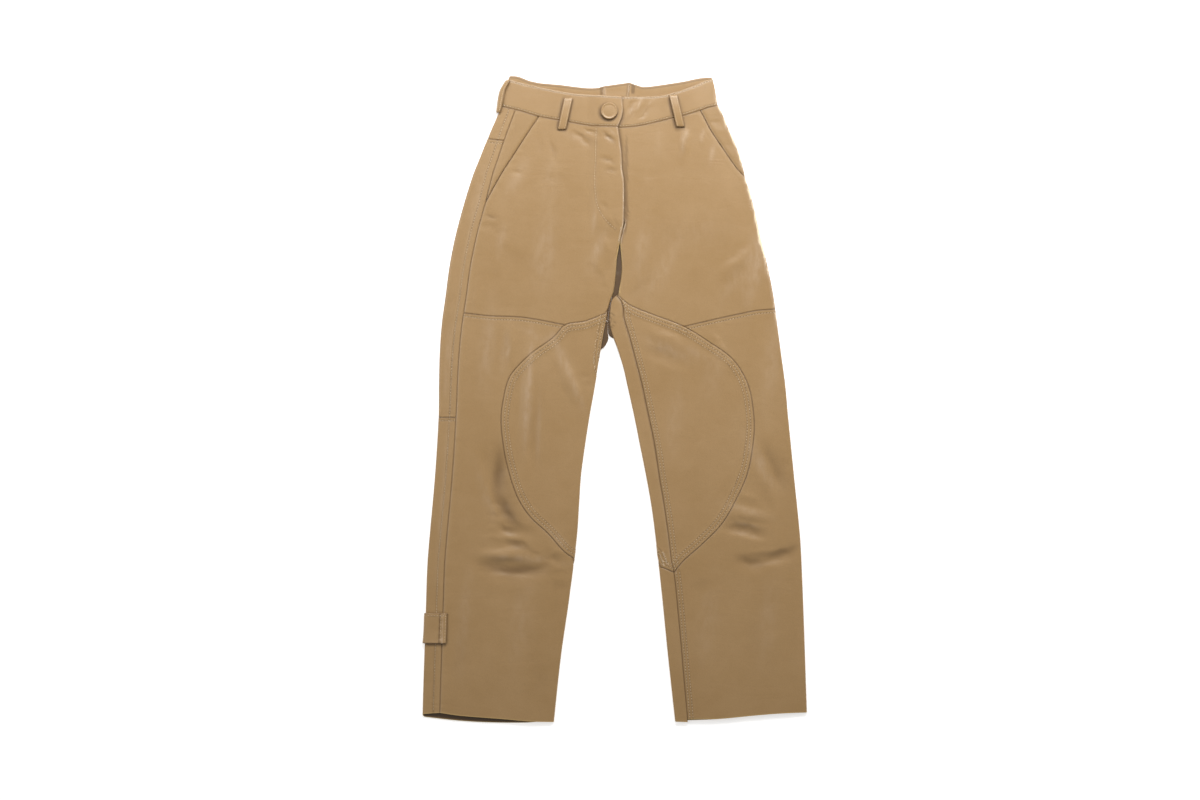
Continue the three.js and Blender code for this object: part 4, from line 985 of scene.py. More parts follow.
def grainGroup():
    # Fine pebble grain with pores, and soft wrinkles that run mostly across the leg, as heights.
    tree = bpy.data.node_groups.new("hideGrain", "ShaderNodeTree")
    socket(tree, "Vector", "NodeSocketVector", "INPUT")
    socket(tree, "Grain", "NodeSocketFloat", "INPUT", 0.2)
    socket(tree, "Wrinkle", "NodeSocketFloat", "INPUT", 0.3)
    socket(tree, "Height", "NodeSocketFloat", "OUTPUT")
    socket(tree, "Pores", "NodeSocketFloat", "OUTPUT")
    inside, out = tree.nodes.new("NodeGroupInput"), tree.nodes.new("NodeGroupOutput")
    at = inside.outputs["Vector"]
    cells = node(tree, "ShaderNodeTexVoronoi", {"Vector": at, "Scale": 900.0}, feature="DISTANCE_TO_EDGE")
    pebbles = ramp(tree, cells.outputs["Distance"], [(0.0, 0.0), (0.22, 1.0)])
    small = node(tree, "ShaderNodeTexNoise", {"Vector": at, "Scale": 420.0, "Detail": 3.0})
    squeezed = node(tree, "ShaderNodeMapping", {"Vector": at, "Scale": (0.55, 1.5, 1.0)})
    soft = node(tree, "ShaderNodeTexNoise",
                {"Vector": squeezed.outputs[0], "Scale": 34.0, "Detail": 4.0, "Roughness": 0.55,
                 "Distortion": 0.9})
    folds = ramp(tree, soft.outputs["Fac"], [(0.34, 0.0), (0.56, 0.72), (0.72, 1.0)])
    slow = node(tree, "ShaderNodeTexNoise", {"Vector": at, "Scale": 9.0, "Detail": 2.0, "Distortion": 0.6})
    fine = maths(tree, "MULTIPLY", maths(tree, "ADD", pebbles, small.outputs["Fac"]), inside.outputs["Grain"])
    rough = maths(tree, "MULTIPLY", folds, slow.outputs["Fac"])
    rough = maths(tree, "MULTIPLY", rough, inside.outputs["Wrinkle"])
    fineScaled = maths(tree, "MULTIPLY", fine, 0.10)
    tree.links.new(maths(tree, "ADD", fineScaled, rough), out.inputs["Height"])
    tree.links.new(pebbles, out.inputs["Pores"])
    return tree


def toneGroup():
    # Slow clouds between the two colours, then each mark's own colour: a paler rub on the allowances, the
    # flesh side darkened as painted shade, a dark line under the stitches, a dark seam line that also carries
    # painted shade, the pale cut edge, and painted highlights with a painted glint where they are strongest.
    tree = bpy.data.node_groups.new("hideTone", "ShaderNodeTree")
    socket(tree, "Vector", "NodeSocketVector", "INPUT")
    socket(tree, "Colour", "NodeSocketColor", "INPUT", (0.4, 0.26, 0.13, 1))
    socket(tree, "Tint", "NodeSocketColor", "INPUT", (0.46, 0.3, 0.17, 1))
    for title in ("Seam", "Crack", "Row", "Rub", "Flesh", "CutEdge"):
        socket(tree, title, "NodeSocketFloat", "INPUT", 0.0)
    socket(tree, "Pores", "NodeSocketFloat", "INPUT", 1.0)
    socket(tree, "Colour", "NodeSocketColor", "OUTPUT")
    socket(tree, "Clouds", "NodeSocketFloat", "OUTPUT")
    socket(tree, "Polish", "NodeSocketFloat", "OUTPUT")
    inside, out = tree.nodes.new("NodeGroupInput"), tree.nodes.new("NodeGroupOutput")
    at = inside.outputs["Vector"]
    slow = node(tree, "ShaderNodeTexNoise", {"Vector": at, "Scale": 7.0, "Detail": 3.0, "Roughness": 0.5})
    patchy = node(tree, "ShaderNodeTexNoise",
                  {"Vector": at, "Scale": 38.0, "Detail": 5.0, "Roughness": 0.62, "Distortion": 0.4})
    streaked = node(tree, "ShaderNodeMapping", {"Vector": at, "Scale": (1.0, 0.4, 1.0)})
    streaks = node(tree, "ShaderNodeTexNoise",
                   {"Vector": streaked.outputs[0], "Scale": 120.0, "Detail": 4.0, "Roughness": 0.6})
    clouds = ramp(tree, slow.outputs["Fac"], [(0.36, 0.0), (0.66, 1.0)])
    mottle = ramp(tree, patchy.outputs["Fac"], [(0.38, 0.0), (0.64, 1.0)])
    broken = ramp(tree, streaks.outputs["Fac"], [(0.36, 0.25), (0.60, 1.0)])
    blend = maths(tree, "ADD", maths(tree, "MULTIPLY", clouds, 0.55), maths(tree, "MULTIPLY", mottle, 0.35))
    highlight = maths(tree, "MULTIPLY", inside.outputs["Rub"], broken)
    found = mixed(tree, blend, inside.outputs["Colour"], inside.outputs["Tint"])
    betweenPores = maths(tree, "SUBTRACT", 1.0, inside.outputs["Pores"])
    found = mixed(tree, maths(tree, "MULTIPLY", betweenPores, 0.22), found, (*poreColour, 1))
    for title, mark, share in (("Seam", "seam", 0.18), ("Flesh", "flesh", 0.92), ("Row", "row", 0.65),
                               ("Crack", "crack", 0.8), ("CutEdge", "cutEdge", 0.8)):
        amount = maths(tree, "MULTIPLY", inside.outputs[title], share)
        found = mixed(tree, amount, found, (*hideMarks[mark], 1))
    found = mixed(tree, maths(tree, "MULTIPLY", highlight, 0.38), found, (*hideMarks["rub"], 1))
    found = mixed(tree, maths(tree, "SUBTRACT", highlight, 1.1), found, (*glintColour, 1))
    tree.links.new(found, out.inputs["Colour"])
    tree.links.new(blend, out.inputs["Clouds"])
    tree.links.new(highlight, out.inputs["Polish"])
    return tree


grain, tone = grainGroup(), toneGroup()


def newMaterial(name, values):
    # A material whose shader has these values on its own sockets.
    material = bpy.data.materials.new(name)
    material.use_nodes = True
    shader = material.node_tree.nodes["Principled BSDF"]
    for title, value in values.items():
        shader.inputs[title].default_value = value
    return material, material.node_tree, shader


leatherGloss = {"Coat Roughness": 0.24, "Sheen Weight": 0.08, "Sheen Roughness": 0.5}
leatherBump = {"Strength": 0.55, "Distance": 0.0012}
cloudRoughness, highlightRoughness = 0.10, 0.10  # how far clouds and the painted highlight move the roughness


def leatherFinish(name, values):
    material, tree, shader = newMaterial(name, {**leatherGloss, "Coat Weight": values["coat"]})
    at = node(tree, "ShaderNodeTexCoord").outputs["Object"]
    surface = node(tree, "ShaderNodeGroup", node_tree=grain)
    tree.links.new(at, surface.inputs["Vector"])
    surface.inputs["Grain"].default_value = values["grain"]
    surface.inputs["Wrinkle"].default_value = values["wrinkle"]
    colour = node(tree, "ShaderNodeGroup", node_tree=tone)
    tree.links.new(at, colour.inputs["Vector"])
    for mark in hideMarks:
        if mark == "flesh" and values.get("lined"):
            continue
        found = node(tree, "ShaderNodeAttribute", attribute_name=mark).outputs["Fac"]
        tree.links.new(found, colour.inputs[mark[0].upper() + mark[1:]])
    tree.links.new(surface.outputs["Pores"], colour.inputs["Pores"])
    colour.inputs["Colour"].default_value = (*values["colour"], 1)
    colour.inputs["Tint"].default_value = (*values["tint"], 1)
    bumpNode = node(tree, "ShaderNodeBump", {**leatherBump, "Height": surface.outputs["Height"]})
    tree.links.new(colour.outputs["Colour"], shader.inputs["Base Color"])
    tree.links.new(bumpNode.outputs["Normal"], shader.inputs["Normal"])
    cloudy = maths(tree, "MULTIPLY", colour.outputs["Clouds"], cloudRoughness)
    smoother = maths(tree, "MULTIPLY", colour.outputs["Polish"], highlightRoughness)
    rough = maths(tree, "ADD", cloudy, values["roughness"] - cloudRoughness / 2)
    tree.links.new(maths(tree, "SUBTRACT", rough, smoother), shader.inputs["Roughness"])
    finishes[name] = material


for finishName, finishValues in hide.items():
    leatherFinish(finishName, finishValues)


threadColours = (0.58, 0.43, 0.26), (0.82, 0.66, 0.46)


def threadFinish():
    material, tree, shader = newMaterial("thread", {"Roughness": 0.55})
    at = node(tree, "ShaderNodeTexCoord").outputs["Object"]
    twist = node(tree, "ShaderNodeTexWave", {"Vector": at, "Scale": 900.0, "Distortion": 1.5},
                 bands_direction="DIAGONAL")
    shade = mixed(tree, twist.outputs["Fac"], *((*colour, 1) for colour in threadColours))
    tree.links.new(shade, shader.inputs["Base Color"])
    bumpNode = node(tree, "ShaderNodeBump",
                    {"Strength": 0.4, "Distance": 0.0002, "Height": twist.outputs["Fac"]})
    tree.links.new(bumpNode.outputs["Normal"], shader.inputs["Normal"])
    finishes["thread"] = material


threadFinish()
print("finishes made")


def dress(piece, finish):
    piece.data.materials.clear()
    piece.data.materials.append(finishes[finish])
    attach(piece, rootBody)


def panel(nodeName, side, grids, edges, finish="panel", thick=cut["leather"], lift=None,
          extraRows=(), thin=1.0):
    # One cut piece of leather: its welded grid, its relief at each edge, its stitch rows and its flat size.
    half, name = halves[side], "leather_" + nodeName
    flat, quads, corners = welded(grids)
    w, y = flat[:, 0], flat[:, 1]
    lines = [(lineOf(half, curve), form) for curve, form in edges]
    lift = lift or (lambda w, y: 0.0)

    def heightOf(w, y):
        height, _ = relief(half, w, y, lines, thin)
        turning = np.abs(wayRound(half, w, y)) < cut["foldSpan"] + sewing["turnReach"]
        return np.where(turning, np.clip(height, *sewing["turnRelief"]), height) + lift(w, y)

    _, marks = relief(half, w, y, lines, thin)
    height = heightOf(w, y)
    outer = place(half, w, y, height)
    inner = place(half, w, y, np.maximum(height - thick, -cut["foldRadius"] + sewing["offFloor"]))
    groups = [group for group in (quads, corners) if len(group)]
    # Painted light: sheen highlights, the outer fold line and the edge highlights, with painted shade from
    # sheen places below 0 and from the shade places.
    rub = paintedLightAt(outer, half, w, y) + marks.pop("shine")
    darker = marks["crack"] + sewing["rubShade"] * np.clip(-rub, 0, 1)
    marks["crack"] = np.maximum(darker, shadedAt(outer, half, w, y))
    piece = shell(name, outer, inner, groups, [*marks.items(), ("rub", rub)])
    dress(piece, finish)
    middle = flat.mean(axis=0)
    outline = (flat, openEdges(groups, len(flat)))
    rows = []
    for curve, form in edges:
        for offset in seamForms[form]["rows"]:
            rows.append(stitchesAlong(half, rowSpots(half, curve, offset, middle), heightOf, outline=outline))
    for curve, pitch in extraRows:
        trim = (pitch / 2, pitch / 2 - 0.1) if pitch else (1.5, 1.5)
        rows.append(stitchesAlong(half, rowSpots(half, curve, 0, middle), heightOf, trim=trim, pitch=pitch))
    threads = stitchPiece(name + "_stitches", rows)
    around = unrolled(half, w, y)
    size = (np.ptp(around) * mm, np.ptp(y) * mm)
    areaOf(outer, groups) * mm * mm
    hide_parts(nodeName)
    print("made", name, len(piece.data.vertices), "points")


# Columns, rows, and the panel's rough real width and height, so that fine steps come out in millimetres.
gridSizes = {
    "frontThigh": (74, 104, 190, 300),
    "facing": (26, 44, 60, 130),
    "frontLeg": (76, 210, 190, 600),
    "kneePatch": (64, 168, 170, 520),
    "backYoke": (44, 18, 180, 60),
    "backThigh": (46, 84, 200, 400),
    "backLeg": (56, 104, 190, 450),
    "backPatch": (44, 112, 160, 420),
    "waistband": (150, 20, 340, 46),
    "centrePiece": (16, 18, 39, 48),
}


def gridOf(top, bottom, left, right, sizes, knotsAcross=(), knotsDown=(), fine="nesw"):
    columns, rows, width, height = sizes
    u = finePlaces(columns, width, "w" in fine, "e" in fine, knotsAcross)
    v = finePlaces(rows, height, "n" in fine, "s" in fine, knotsDown)
    return coons(top, bottom, left, right, u, v)


def makeFront(side):
    half, outer, crease, inseam = halves[side], outseamEdge(side), creaseEdge(side), inseamEdge(side)
    low = side.lower()
    upper, lower = frontPatchSeam(side)
    waist = spots(half, "waist" + side)
    slantEnd, thighY, crotchY = levelsY["slantEnd" + side], levelsY["thigh" + side], levelsY["crotch" + side]
    tipY, splitY, hemInner = levelsY["tip" + side], levelsY["split" + side], levelsY["innerHem" + side]
    pocket = along(np.vstack([spots(half, "slant" + side), outer(slantEnd)]))
    thigh = along(np.vstack([outer(thighY), spots(half, "thigh" + side)]))
    fly, sideSeam = along(spots(half, "fly" + side)), levels(slantEnd, thighY, outer)
    creaseSide = levels(cut["crotchTop"], crotchY, crease)
    waistLine = along(waist, 7)
    edges = [(waistLine, "tucked"), (pocket, "pressed"), (sideSeam, "pressed"), (thigh, "plain"),
             (upper, "plain"), (fly, "edge"), (creaseSide, "raw")]
    extra = []
    if side == "Left":
        edges.append((along(spots(half, "flyRight")), "shaded"))
    else:
        edges += [(curve, "stitched") for curve in flyStitch]
        extra = [(curve, None) for curve in flyStitch]
        extra += [(curve, flySewing["tackLength"]) for curve in flyTacks]
    bottom = joined((thigh, 10), (reverse(upper), 8))
    panel(f"front_thigh_{low}", side, [gridOf(
        waistLine, bottom, joined((pocket, 7), (sideSeam, 7)), joined((fly, 7), (creaseSide, 7)),
        gridSizes["frontThigh"], knotsAcross=bottom.knots, knotsDown=(0.5,))],
        edges, extraRows=extra)

    facingTop = along(waist, waistOutseam[side], 7)
    facingSide = levels(waist[waistOutseam[side]][1], slantEnd, outer)
    tip = pocket(1.0)
    facingGrid = gridOf(facingTop, point(tip), facingSide, pocket, gridSizes["facing"],
                        fine="nw")
    sunk = facingSinks(pocket, half)
    panel(f"pocket_facing_{low}", side, [facingGrid],
          [(facingTop, "tucked"), (facingSide, "pressed"), (pocket, "under")],
          finish="facing", lift=sunk, thick=1.1)

    hemRows = [outer(levelsY["outseamHem"]), *spots(half, "frontHem" + side)]
    if side == "Right":
        hemRows.append(inseam(hemInner))
    hem = along(np.vstack(hemRows))
    shin = levels(tipY - shortRuns["belowTip"], hemInner, inseam)
    toShin = levels(tipY, tipY - shortRuns["belowTip"], inseam)
    legInner = joined((lower, 20), (toShin, 1), (shin, 7))
    legOuter = joined((levels(thighY, levelsY["cross"], outer), 8),
                      (levels(levelsY["cross"], levelsY["outseamHem"], outer), 20))
    wholeOuter = levels(thighY, levelsY["outseamHem"], outer)
    wholeShin = levels(tipY, hemInner, inseam)
    panel(f"front_leg_{low}", side, [gridOf(
        thigh, hem, legOuter, legInner, gridSizes["frontLeg"], knotsDown=legInner.knots)],
        [(thigh, "narrow"), (wholeOuter, "pressed"), (lower, "plain"), (wholeShin, "twin"), (hem, "raw")])

    patchOuter = joined((upper, 8), (lower, 20))
    patchInner = joined((levels(crotchY, splitY, inseam), 10), (levels(splitY, tipY, inseam), 18))
    wholeInner = levels(crotchY, tipY, inseam)
    panel(f"knee_patch_{low}", side, [gridOf(
        point(patchOuter(0.0)), point(patchOuter(1.0)), patchOuter, patchInner,
        gridSizes["kneePatch"], fine="we")],
        [(upper, "felled"), (lower, "felled"), (wholeInner, "twin")], finish="patch")


facing = {"sink": 0.7, "sinkWidth": 26.0, "underEdge": 0.9, "underWidth": 4.0}


def facingSinks(pocket, half):
    # The facing sinks towards the pocket's edge and lies a little under it.
    line = lineOf(half, pocket)

    def lift(w, y):
        distance, _ = nearest(spread(half, w, y), line)
        sunk = facing["sink"] * np.exp(-(distance / facing["sinkWidth"]) ** 2)
        return -sunk - facing["underEdge"] * np.exp(-(distance / facing["underWidth"]) ** 2)

    return lift


def makeBack(side):
    half, outer, inseam = halves[side], outseamEdge(side), fromBack(side, inseamEdge(side))
    low = side.lower()
    waist = spots(half, "waist" + side)
    seat, upper, lower = backPatchSeam(side)
    cross = along(np.vstack([lower(0.0), outer(levelsY["cross"])]))
    yokeRows = np.vstack([spots(half, "yoke" + side), outer(levelsY["yoke"])])
    yoke = joined((along(yokeRows, 0, 3), 6), (along(yokeRows, 3), 8))
    centreTop, centreLow = sharedSeam(half, "centreBack", 0, 1), sharedSeam(half, "centreBack", 1, -1)
    waistLine = along(waist, 0, waistOutseam[side])
    yokeSide = levels(waist[waistOutseam[side]][1], levelsY["yoke"], outer)
    stops = [levelsY[stop] for stop in ("yoke", "pocketEnd", "thighEnd", "cross")]
    thighSide = joined(*((levels(*run, outer), steps) for *run, steps in zip(stops, stops[1:], (4, 5, 6))))
    wholeSide = levels(levelsY["yoke"], levelsY["cross"], outer)
    centreForm = "twin" if side == "Right" else "plain"
    panel(f"back_yoke_{low}", side, [gridOf(
        waistLine, yoke, centreTop, yokeSide, gridSizes["backYoke"], knotsAcross=yoke.knots)],
        [(waistLine, "tucked"), (yoke, "plain"), (centreTop, centreForm), (yokeSide, "single")],
        thin=0.4)
    thighBottom = joined((seat, 4), (upper, 2), (cross, 8))
    panel(f"back_thigh_{low}", side, [gridOf(
        yoke, thighBottom, centreLow, thighSide, gridSizes["backThigh"],
        knotsAcross=(*yoke.knots, *thighBottom.knots), knotsDown=thighSide.knots)],
        [(yoke, "narrow"), (centreLow, centreForm), (wholeSide, "single"), (seat, "plain"), (upper, "plain"),
         (cross, "plain")], thin=0.75)
    tipY = levelsY["tip" + side]
    shin = levels(tipY - shortRuns["belowTip"], levelsY["backHem"], inseam)
    legInner = joined((lower, 16), (levels(tipY, tipY - shortRuns["belowTip"], inseam), 1), (shin, 7))
    hem = along(np.vstack([inseam(levelsY["backHem"]), spots(half, "backHem" + side),
                           outer(levelsY["outseamHem"])]))
    legOuter = levels(levelsY["cross"], levelsY["outseamHem"], outer)
    panel(f"back_leg_{low}", side, [gridOf(
        cross, hem, legInner, legOuter, gridSizes["backLeg"], knotsDown=legInner.knots)],
        [(cross, "narrow"), (legOuter, "single"), (lower, "plain"), (hem, "raw"),
         (levels(tipY, levelsY["backHem"], inseam), "plain")], thin=0.75)


def makeBackPatches():
    half = halves["Right"]
    inseam = fromBack("Right", creaseEdge("Right"))
    seat, upper, lower = backPatchSeam("Right")
    curve = joined((seat, 4), (upper, 2), (lower, 16))
    splitY, tipY = levelsY["splitRight"], levelsY["tipRight"]
    forkEdge = along(np.vstack([spots(half, "forkRight"), inseam(splitY)]))
    inner = joined((forkEdge, 4), (levels(splitY, tipY, inseam), 18))
    ends = point(curve(0.0)), point(curve(1.0))
    panel("back_patch_right", "Right", [gridOf(*ends, inner, curve, gridSizes["backPatch"], fine="we")],
        [(seat, "felled"), (upper, "felled"), (lower, "felled"), (inner, "plain")],
        finish="patch", thin=0.75)

    half = halves["Left"]
    inseam = fromBack("Left", inseamEdge("Left"))
    crotchY, splitY, tipY = levelsY["crotchLeft"], levelsY["splitLeft"], levelsY["tipLeft"]

    def crease(y):
        y = np.asarray(y, float)
        return np.stack([-fullTurn(half, y) / 2 - cut["foldSpan"] * (1 - backTurnAt(y) / 90), y], axis=-1)

    tip = crease(splitY)
    seat, upper, lower = backPatchSeam("Left")
    start = inseam(crotchY - shortRuns["stripDrop"])
    stripY = crotchY - shortRuns["stripWhole"]
    stripLeft, stripRight = (
        joined((along(np.vstack([start, edge(stripY)])), 1), (levels(stripY, splitY, edge), 9))
        for edge in (inseam, crease))
    stripBottom = along(np.vstack([inseam(splitY), tip]))
    baseBottom = along(np.vstack([tip, seat(1.0)]))
    forkEdge = along(np.vstack([spots(half, "forkLeft"), tip]))
    gap = cut["gap"] / 60
    acrossStrip, acrossBase = np.linspace(0, 1, 15), np.linspace(0, 1, 33)
    acrossStrip[0], acrossBase[-1] = gap, 1 - gap
    down = np.linspace(0, 1, 46)
    strip = coons(point(start), stripBottom, stripLeft, stripRight, acrossStrip, down)
    base = coons(point(seat(0.0)), baseBottom, forkEdge, seat, acrossBase, down)
    legTop = joined((stripBottom, 3), (baseBottom, 8))
    curve = joined((upper, 2), (lower, 16))
    acrossLeg = np.concatenate([acrossStrip * 3 / 11, 3 / 11 + acrossBase[1:] * 8 / 11])
    leg = coons(legTop, point(inseam(tipY)), levels(splitY, tipY, inseam), curve, acrossLeg,
                np.concatenate([np.linspace(0, 1, 120)[:-1], [1 - gap]]))
    panel("back_patch_left", "Left", [strip, base, leg],
          [(seat, "felled"), (upper, "felled"), (lower, "felled"),
           (levels(crotchY - 4, tipY, inseam), "pressed")],
          finish="patch", thin=0.75)


# The stitching that holds the fly's facing, in a long J, and the tacks at its foot.
flySewing = {
    "row": [(-27.5, 405), (-28.5, 360), (-28, 300), (-22, 281), (-10, 264), (4, 252)],
    "tackLength": 3.2, "tacksFromY": 236.5, "tacksToY": 257, "tackStep": 0.9,
    "tackY": [236, 250, 257], "tackX": [4.6, 7.2, 8.2],
}


def onFront(points):
    return along([(inwardOf(halves["Right"], x, float(y)), y) for x, y in points])


flyStitch = [onFront(flySewing["row"])]
tackRows = np.arange(flySewing["tacksFromY"], flySewing["tacksToY"], flySewing["tackStep"])
tackStarts = np.interp(tackRows, flySewing["tackY"], flySewing["tackX"])
flyTacks = [onFront([(x, y), (x + flySewing["tackLength"], y)]) for x, y in zip(tackStarts, tackRows)]

for side in ("Right", "Left"):
    makeFront(side)
    makeBack(side)
makeBackPatches()
print("panels made")


def makeWaistband(side):
    half, low = halves[side], side.lower()
    top = along(spots(half, "waistTop" + side))
    bottom = along(spots(half, "waist" + side), 1)
    back = along([spots(half, "waistTop" + side)[0], spots(half, "waist" + side)[1]])
    front = along(spots(half, "bandEnd" + side))
    edges = [(top, "edgeSewn"), (bottom, "bandSewn"), (front, "edge"), (back, "plain")]
    if side == "Left":
        edges.append((along(spots(half, "bandEndRight")), "shaded"))
    panel(f"waistband_{low}", side, [gridOf(top, bottom, back, front, gridSizes["waistband"])], edges,
          finish="trim", thick=cut["doubled"], thin=0.8)


def makeCentrePiece():
    # It is drawn in the right half's w. Its left side follows the left band's end, turned into that w.
    half, other = halves["Right"], halves["Left"]
    right, leftBand = (
        along([spots(halves[side], "waistTop" + side)[0], spots(halves[side], "waist" + side)[1]])
        for side in ("Right", "Left"))

    def left(t):
        found = leftBand(t)
        y = found[..., 1]
        x = other["outer"](y) + cut["foldSpan"] + found[..., 0] - cut["foldRadius"]
        return np.stack([cut["foldRadius"] - cut["foldSpan"] - (x - half["outer"](y)), y], axis=-1)

    top = along(np.vstack([left(0.0), right(0.0)]))
    bottom = along(np.vstack([left(1.0), right(1.0)]))
    panel("waistband_back_centre", "Right", [gridOf(top, bottom, left, right, gridSizes["centrePiece"])],
          [(top, "edgeSewn"), (bottom, "plain"), (left, "edgeSewn"), (right, "edgeSewn")], finish="trim",
          thick=cut["doubled"], thin=0)


for side in ("Right", "Left"):
    makeWaistband(side)
makeCentrePiece()
print("waistband made")


strips = {
    "loopWidth": 13.0, "loopLayer": 1.5, "sewnIn": 2.2,
    "frontLoops": {"right": ((-69, 449), (-78.5, 405)), "left": ((88, 453), (99, 406))},
    # How far along a loop, and how high its middle: tucked under, up, over and tucked under again.
    "loopPath": [(4.5, 1.0), (1.2, 1.0), (-0.4, 1.9), (0.6, 3.2), (6, 3.9), (16, 4.5), (28, 4.5), (38, 3.9),
                 (43.5, 3.3), (45.6, 2.4), (45.2, 1.3), (42.5, 0.9), (39, 0.9)],
    "sidePath": [(4, 1.2), (1, 1.4), (-0.6, 2.6), (1, 4.2), (8, 5.2), (18, 5.7), (30, 5.7), (39, 5.0),
                 (45, 4.0), (47.4, 2.7), (46.4, 1.5), (43, 1.2)],
    "sideTurn": (-18, 92), "sideTop": 476.0,
}
tab = {
    "top": -321.0, "low": -366.0, "turn": -26.0, "inset": 33.0, "layer": 2.2,
    "over": 0.35,           # how far it stands over the leg
    "outerRow": 2.6,        # its stitch rows, from its end, and from its top edge
    "innerRow": 9.5,
    "topRow": 3.2,
    "step": 0.7,            # where its end lies doubled
    "stepAt": 10.5,
    "stepFade": 2.5,
    "roll": 0.75,           # of its edges
    "rollWidth": 0.9,
    "rowDepth": 0.3,
    "rowWidth": 0.8,
    "lift": 1.3,            # of its low edge
    "rub": 1.6,             # a painted highlight between its rows
    "rubAt": 6.6,
    "rubWidth": 0.9,
}


def sweep(path, columns, thickness, acrossShape):
    # A flat strip carried along a path of (along, height): both faces are the path moved by half the
    # thickness along its own normal, drawn in to a round edge at both sides.
    path = np.array(path, float)
    length = np.concatenate([[0], np.cumsum(np.hypot(*np.diff(path, axis=0).T))])
    a, n = reader(length, path[:, 0]), reader(length, path[:, 1])
    t = np.linspace(0, length[-1], 90)
    run, high = a(t), n(t)
    da, dn = np.gradient(run), np.gradient(high)
    long = np.hypot(da, dn)
    normal = np.stack([-dn / long, da / long], axis=1)
    u = np.linspace(-1, 1, columns)
    half = thickness / 2 * acrossShape(u)
    outer = [run[:, None] + normal[:, :1] * half, high[:, None] + normal[:, 1:] * half]
    inner = [run[:, None] - normal[:, :1] * half, high[:, None] - normal[:, 1:] * half]
    return u, t, outer, inner


loopEdge = {"from": 0.86, "least": 0.04, "rowDepth": 0.16, "rowWidth": 0.07, "crack": 0.75, "crackWidth": 1.1,
            "columns": 25, "sewnFrom": 6, "sewnTo": 7, "pitch": 3.0}


def stripProfile(rowAt):
    # Full thickness with rounded edges, and a pressed line at each stitch row.
    def shape(u):
        out = np.clip((np.abs(u) - loopEdge["from"]) / (1 - loopEdge["from"]), 0, 1)
        edge = np.sqrt(np.clip(1 - out ** 2, loopEdge["least"], 1))
        return edge * (1 - loopEdge["rowDepth"] * np.exp(-((np.abs(u) - rowAt) / loopEdge["rowWidth"]) ** 2))

    return shape


def makeLoop(nodeName, half, spotAt, topY, path):
    # spotAt gives w for a run down the loop and a share of the way across it.
    rowAt, columns = 1 - 2 * strips["sewnIn"] / strips["loopWidth"], loopEdge["columns"]
    u, t, outer, inner = sweep(path, columns, strips["loopLayer"], stripProfile(rowAt))
    across = np.broadcast_to((u + 1) / 2, outer[0].shape)
    layers = []
    for run, high in (outer, inner):
        layer = place(half, spotAt(run, across), topY - run, high).reshape(-1, 3)
        layer[:, 2] = np.maximum(layer[:, 2], 0.0)
        layers.append(layer)
    groups = [gridFaces(*outer[0].shape)]
    # Painted shade along both long edges of the loop.
    fromEdge = (1 - np.abs(2 * across - 1)) * strips["loopWidth"] / 2
    crack = loopEdge["crack"] * np.exp(-(fromEdge / loopEdge["crackWidth"]) ** 2).ravel()
    name = "leather_" + nodeName
    piece = shell(name, *layers, groups, [("crack", crack)])
    dress(piece, "trim")
    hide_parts(nodeName)
    rows = []
    shown = (t > loopEdge["sewnFrom"]) & (t < t[-1] - loopEdge["sewnTo"])
    for way in (0.5 - 0.5 * rowAt, 0.5 + 0.5 * rowAt):
        k = int(round(way * (columns - 1)))
        run, high = outer[0][shown, k], outer[1][shown, k]
        w = spotAt(run, np.full(len(run), way))
        heightOf = lambda w, y, run=run, high=high: np.interp(topY - y, run, high)
        rows.append(stitchesAlong(half, np.stack([w, topY - run], axis=1), heightOf, trim=(1, 1),
                                  pitch=loopEdge["pitch"]))
    threads = stitchPiece(name + "_stitches", rows)


def makeLoops():
    for low, ((topX, topY), (lowX, lowY)) in strips["frontLoops"].items():
        half = halves[low.capitalize()]

        def straight(run, across, half=half, topX=topX, topY=topY, lowX=lowX, lowY=lowY):
            x = topX + (lowX - topX) * run / (topY - lowY)
            x = x + (across - 0.5) * strips["loopWidth"] * half["sign"]
            return inwardOf(half, x, topY - run)

        makeLoop(f"belt_loop_front_{low}", half, straight, topY, strips["loopPath"])
    start, end = (cut["foldSpan"] * turn / 90 for turn in strips["sideTurn"])
    makeLoop("belt_loop_side_right", halves["Right"], lambda run, across: start + (end - start) * across,
             strips["sideTop"], strips["sidePath"])


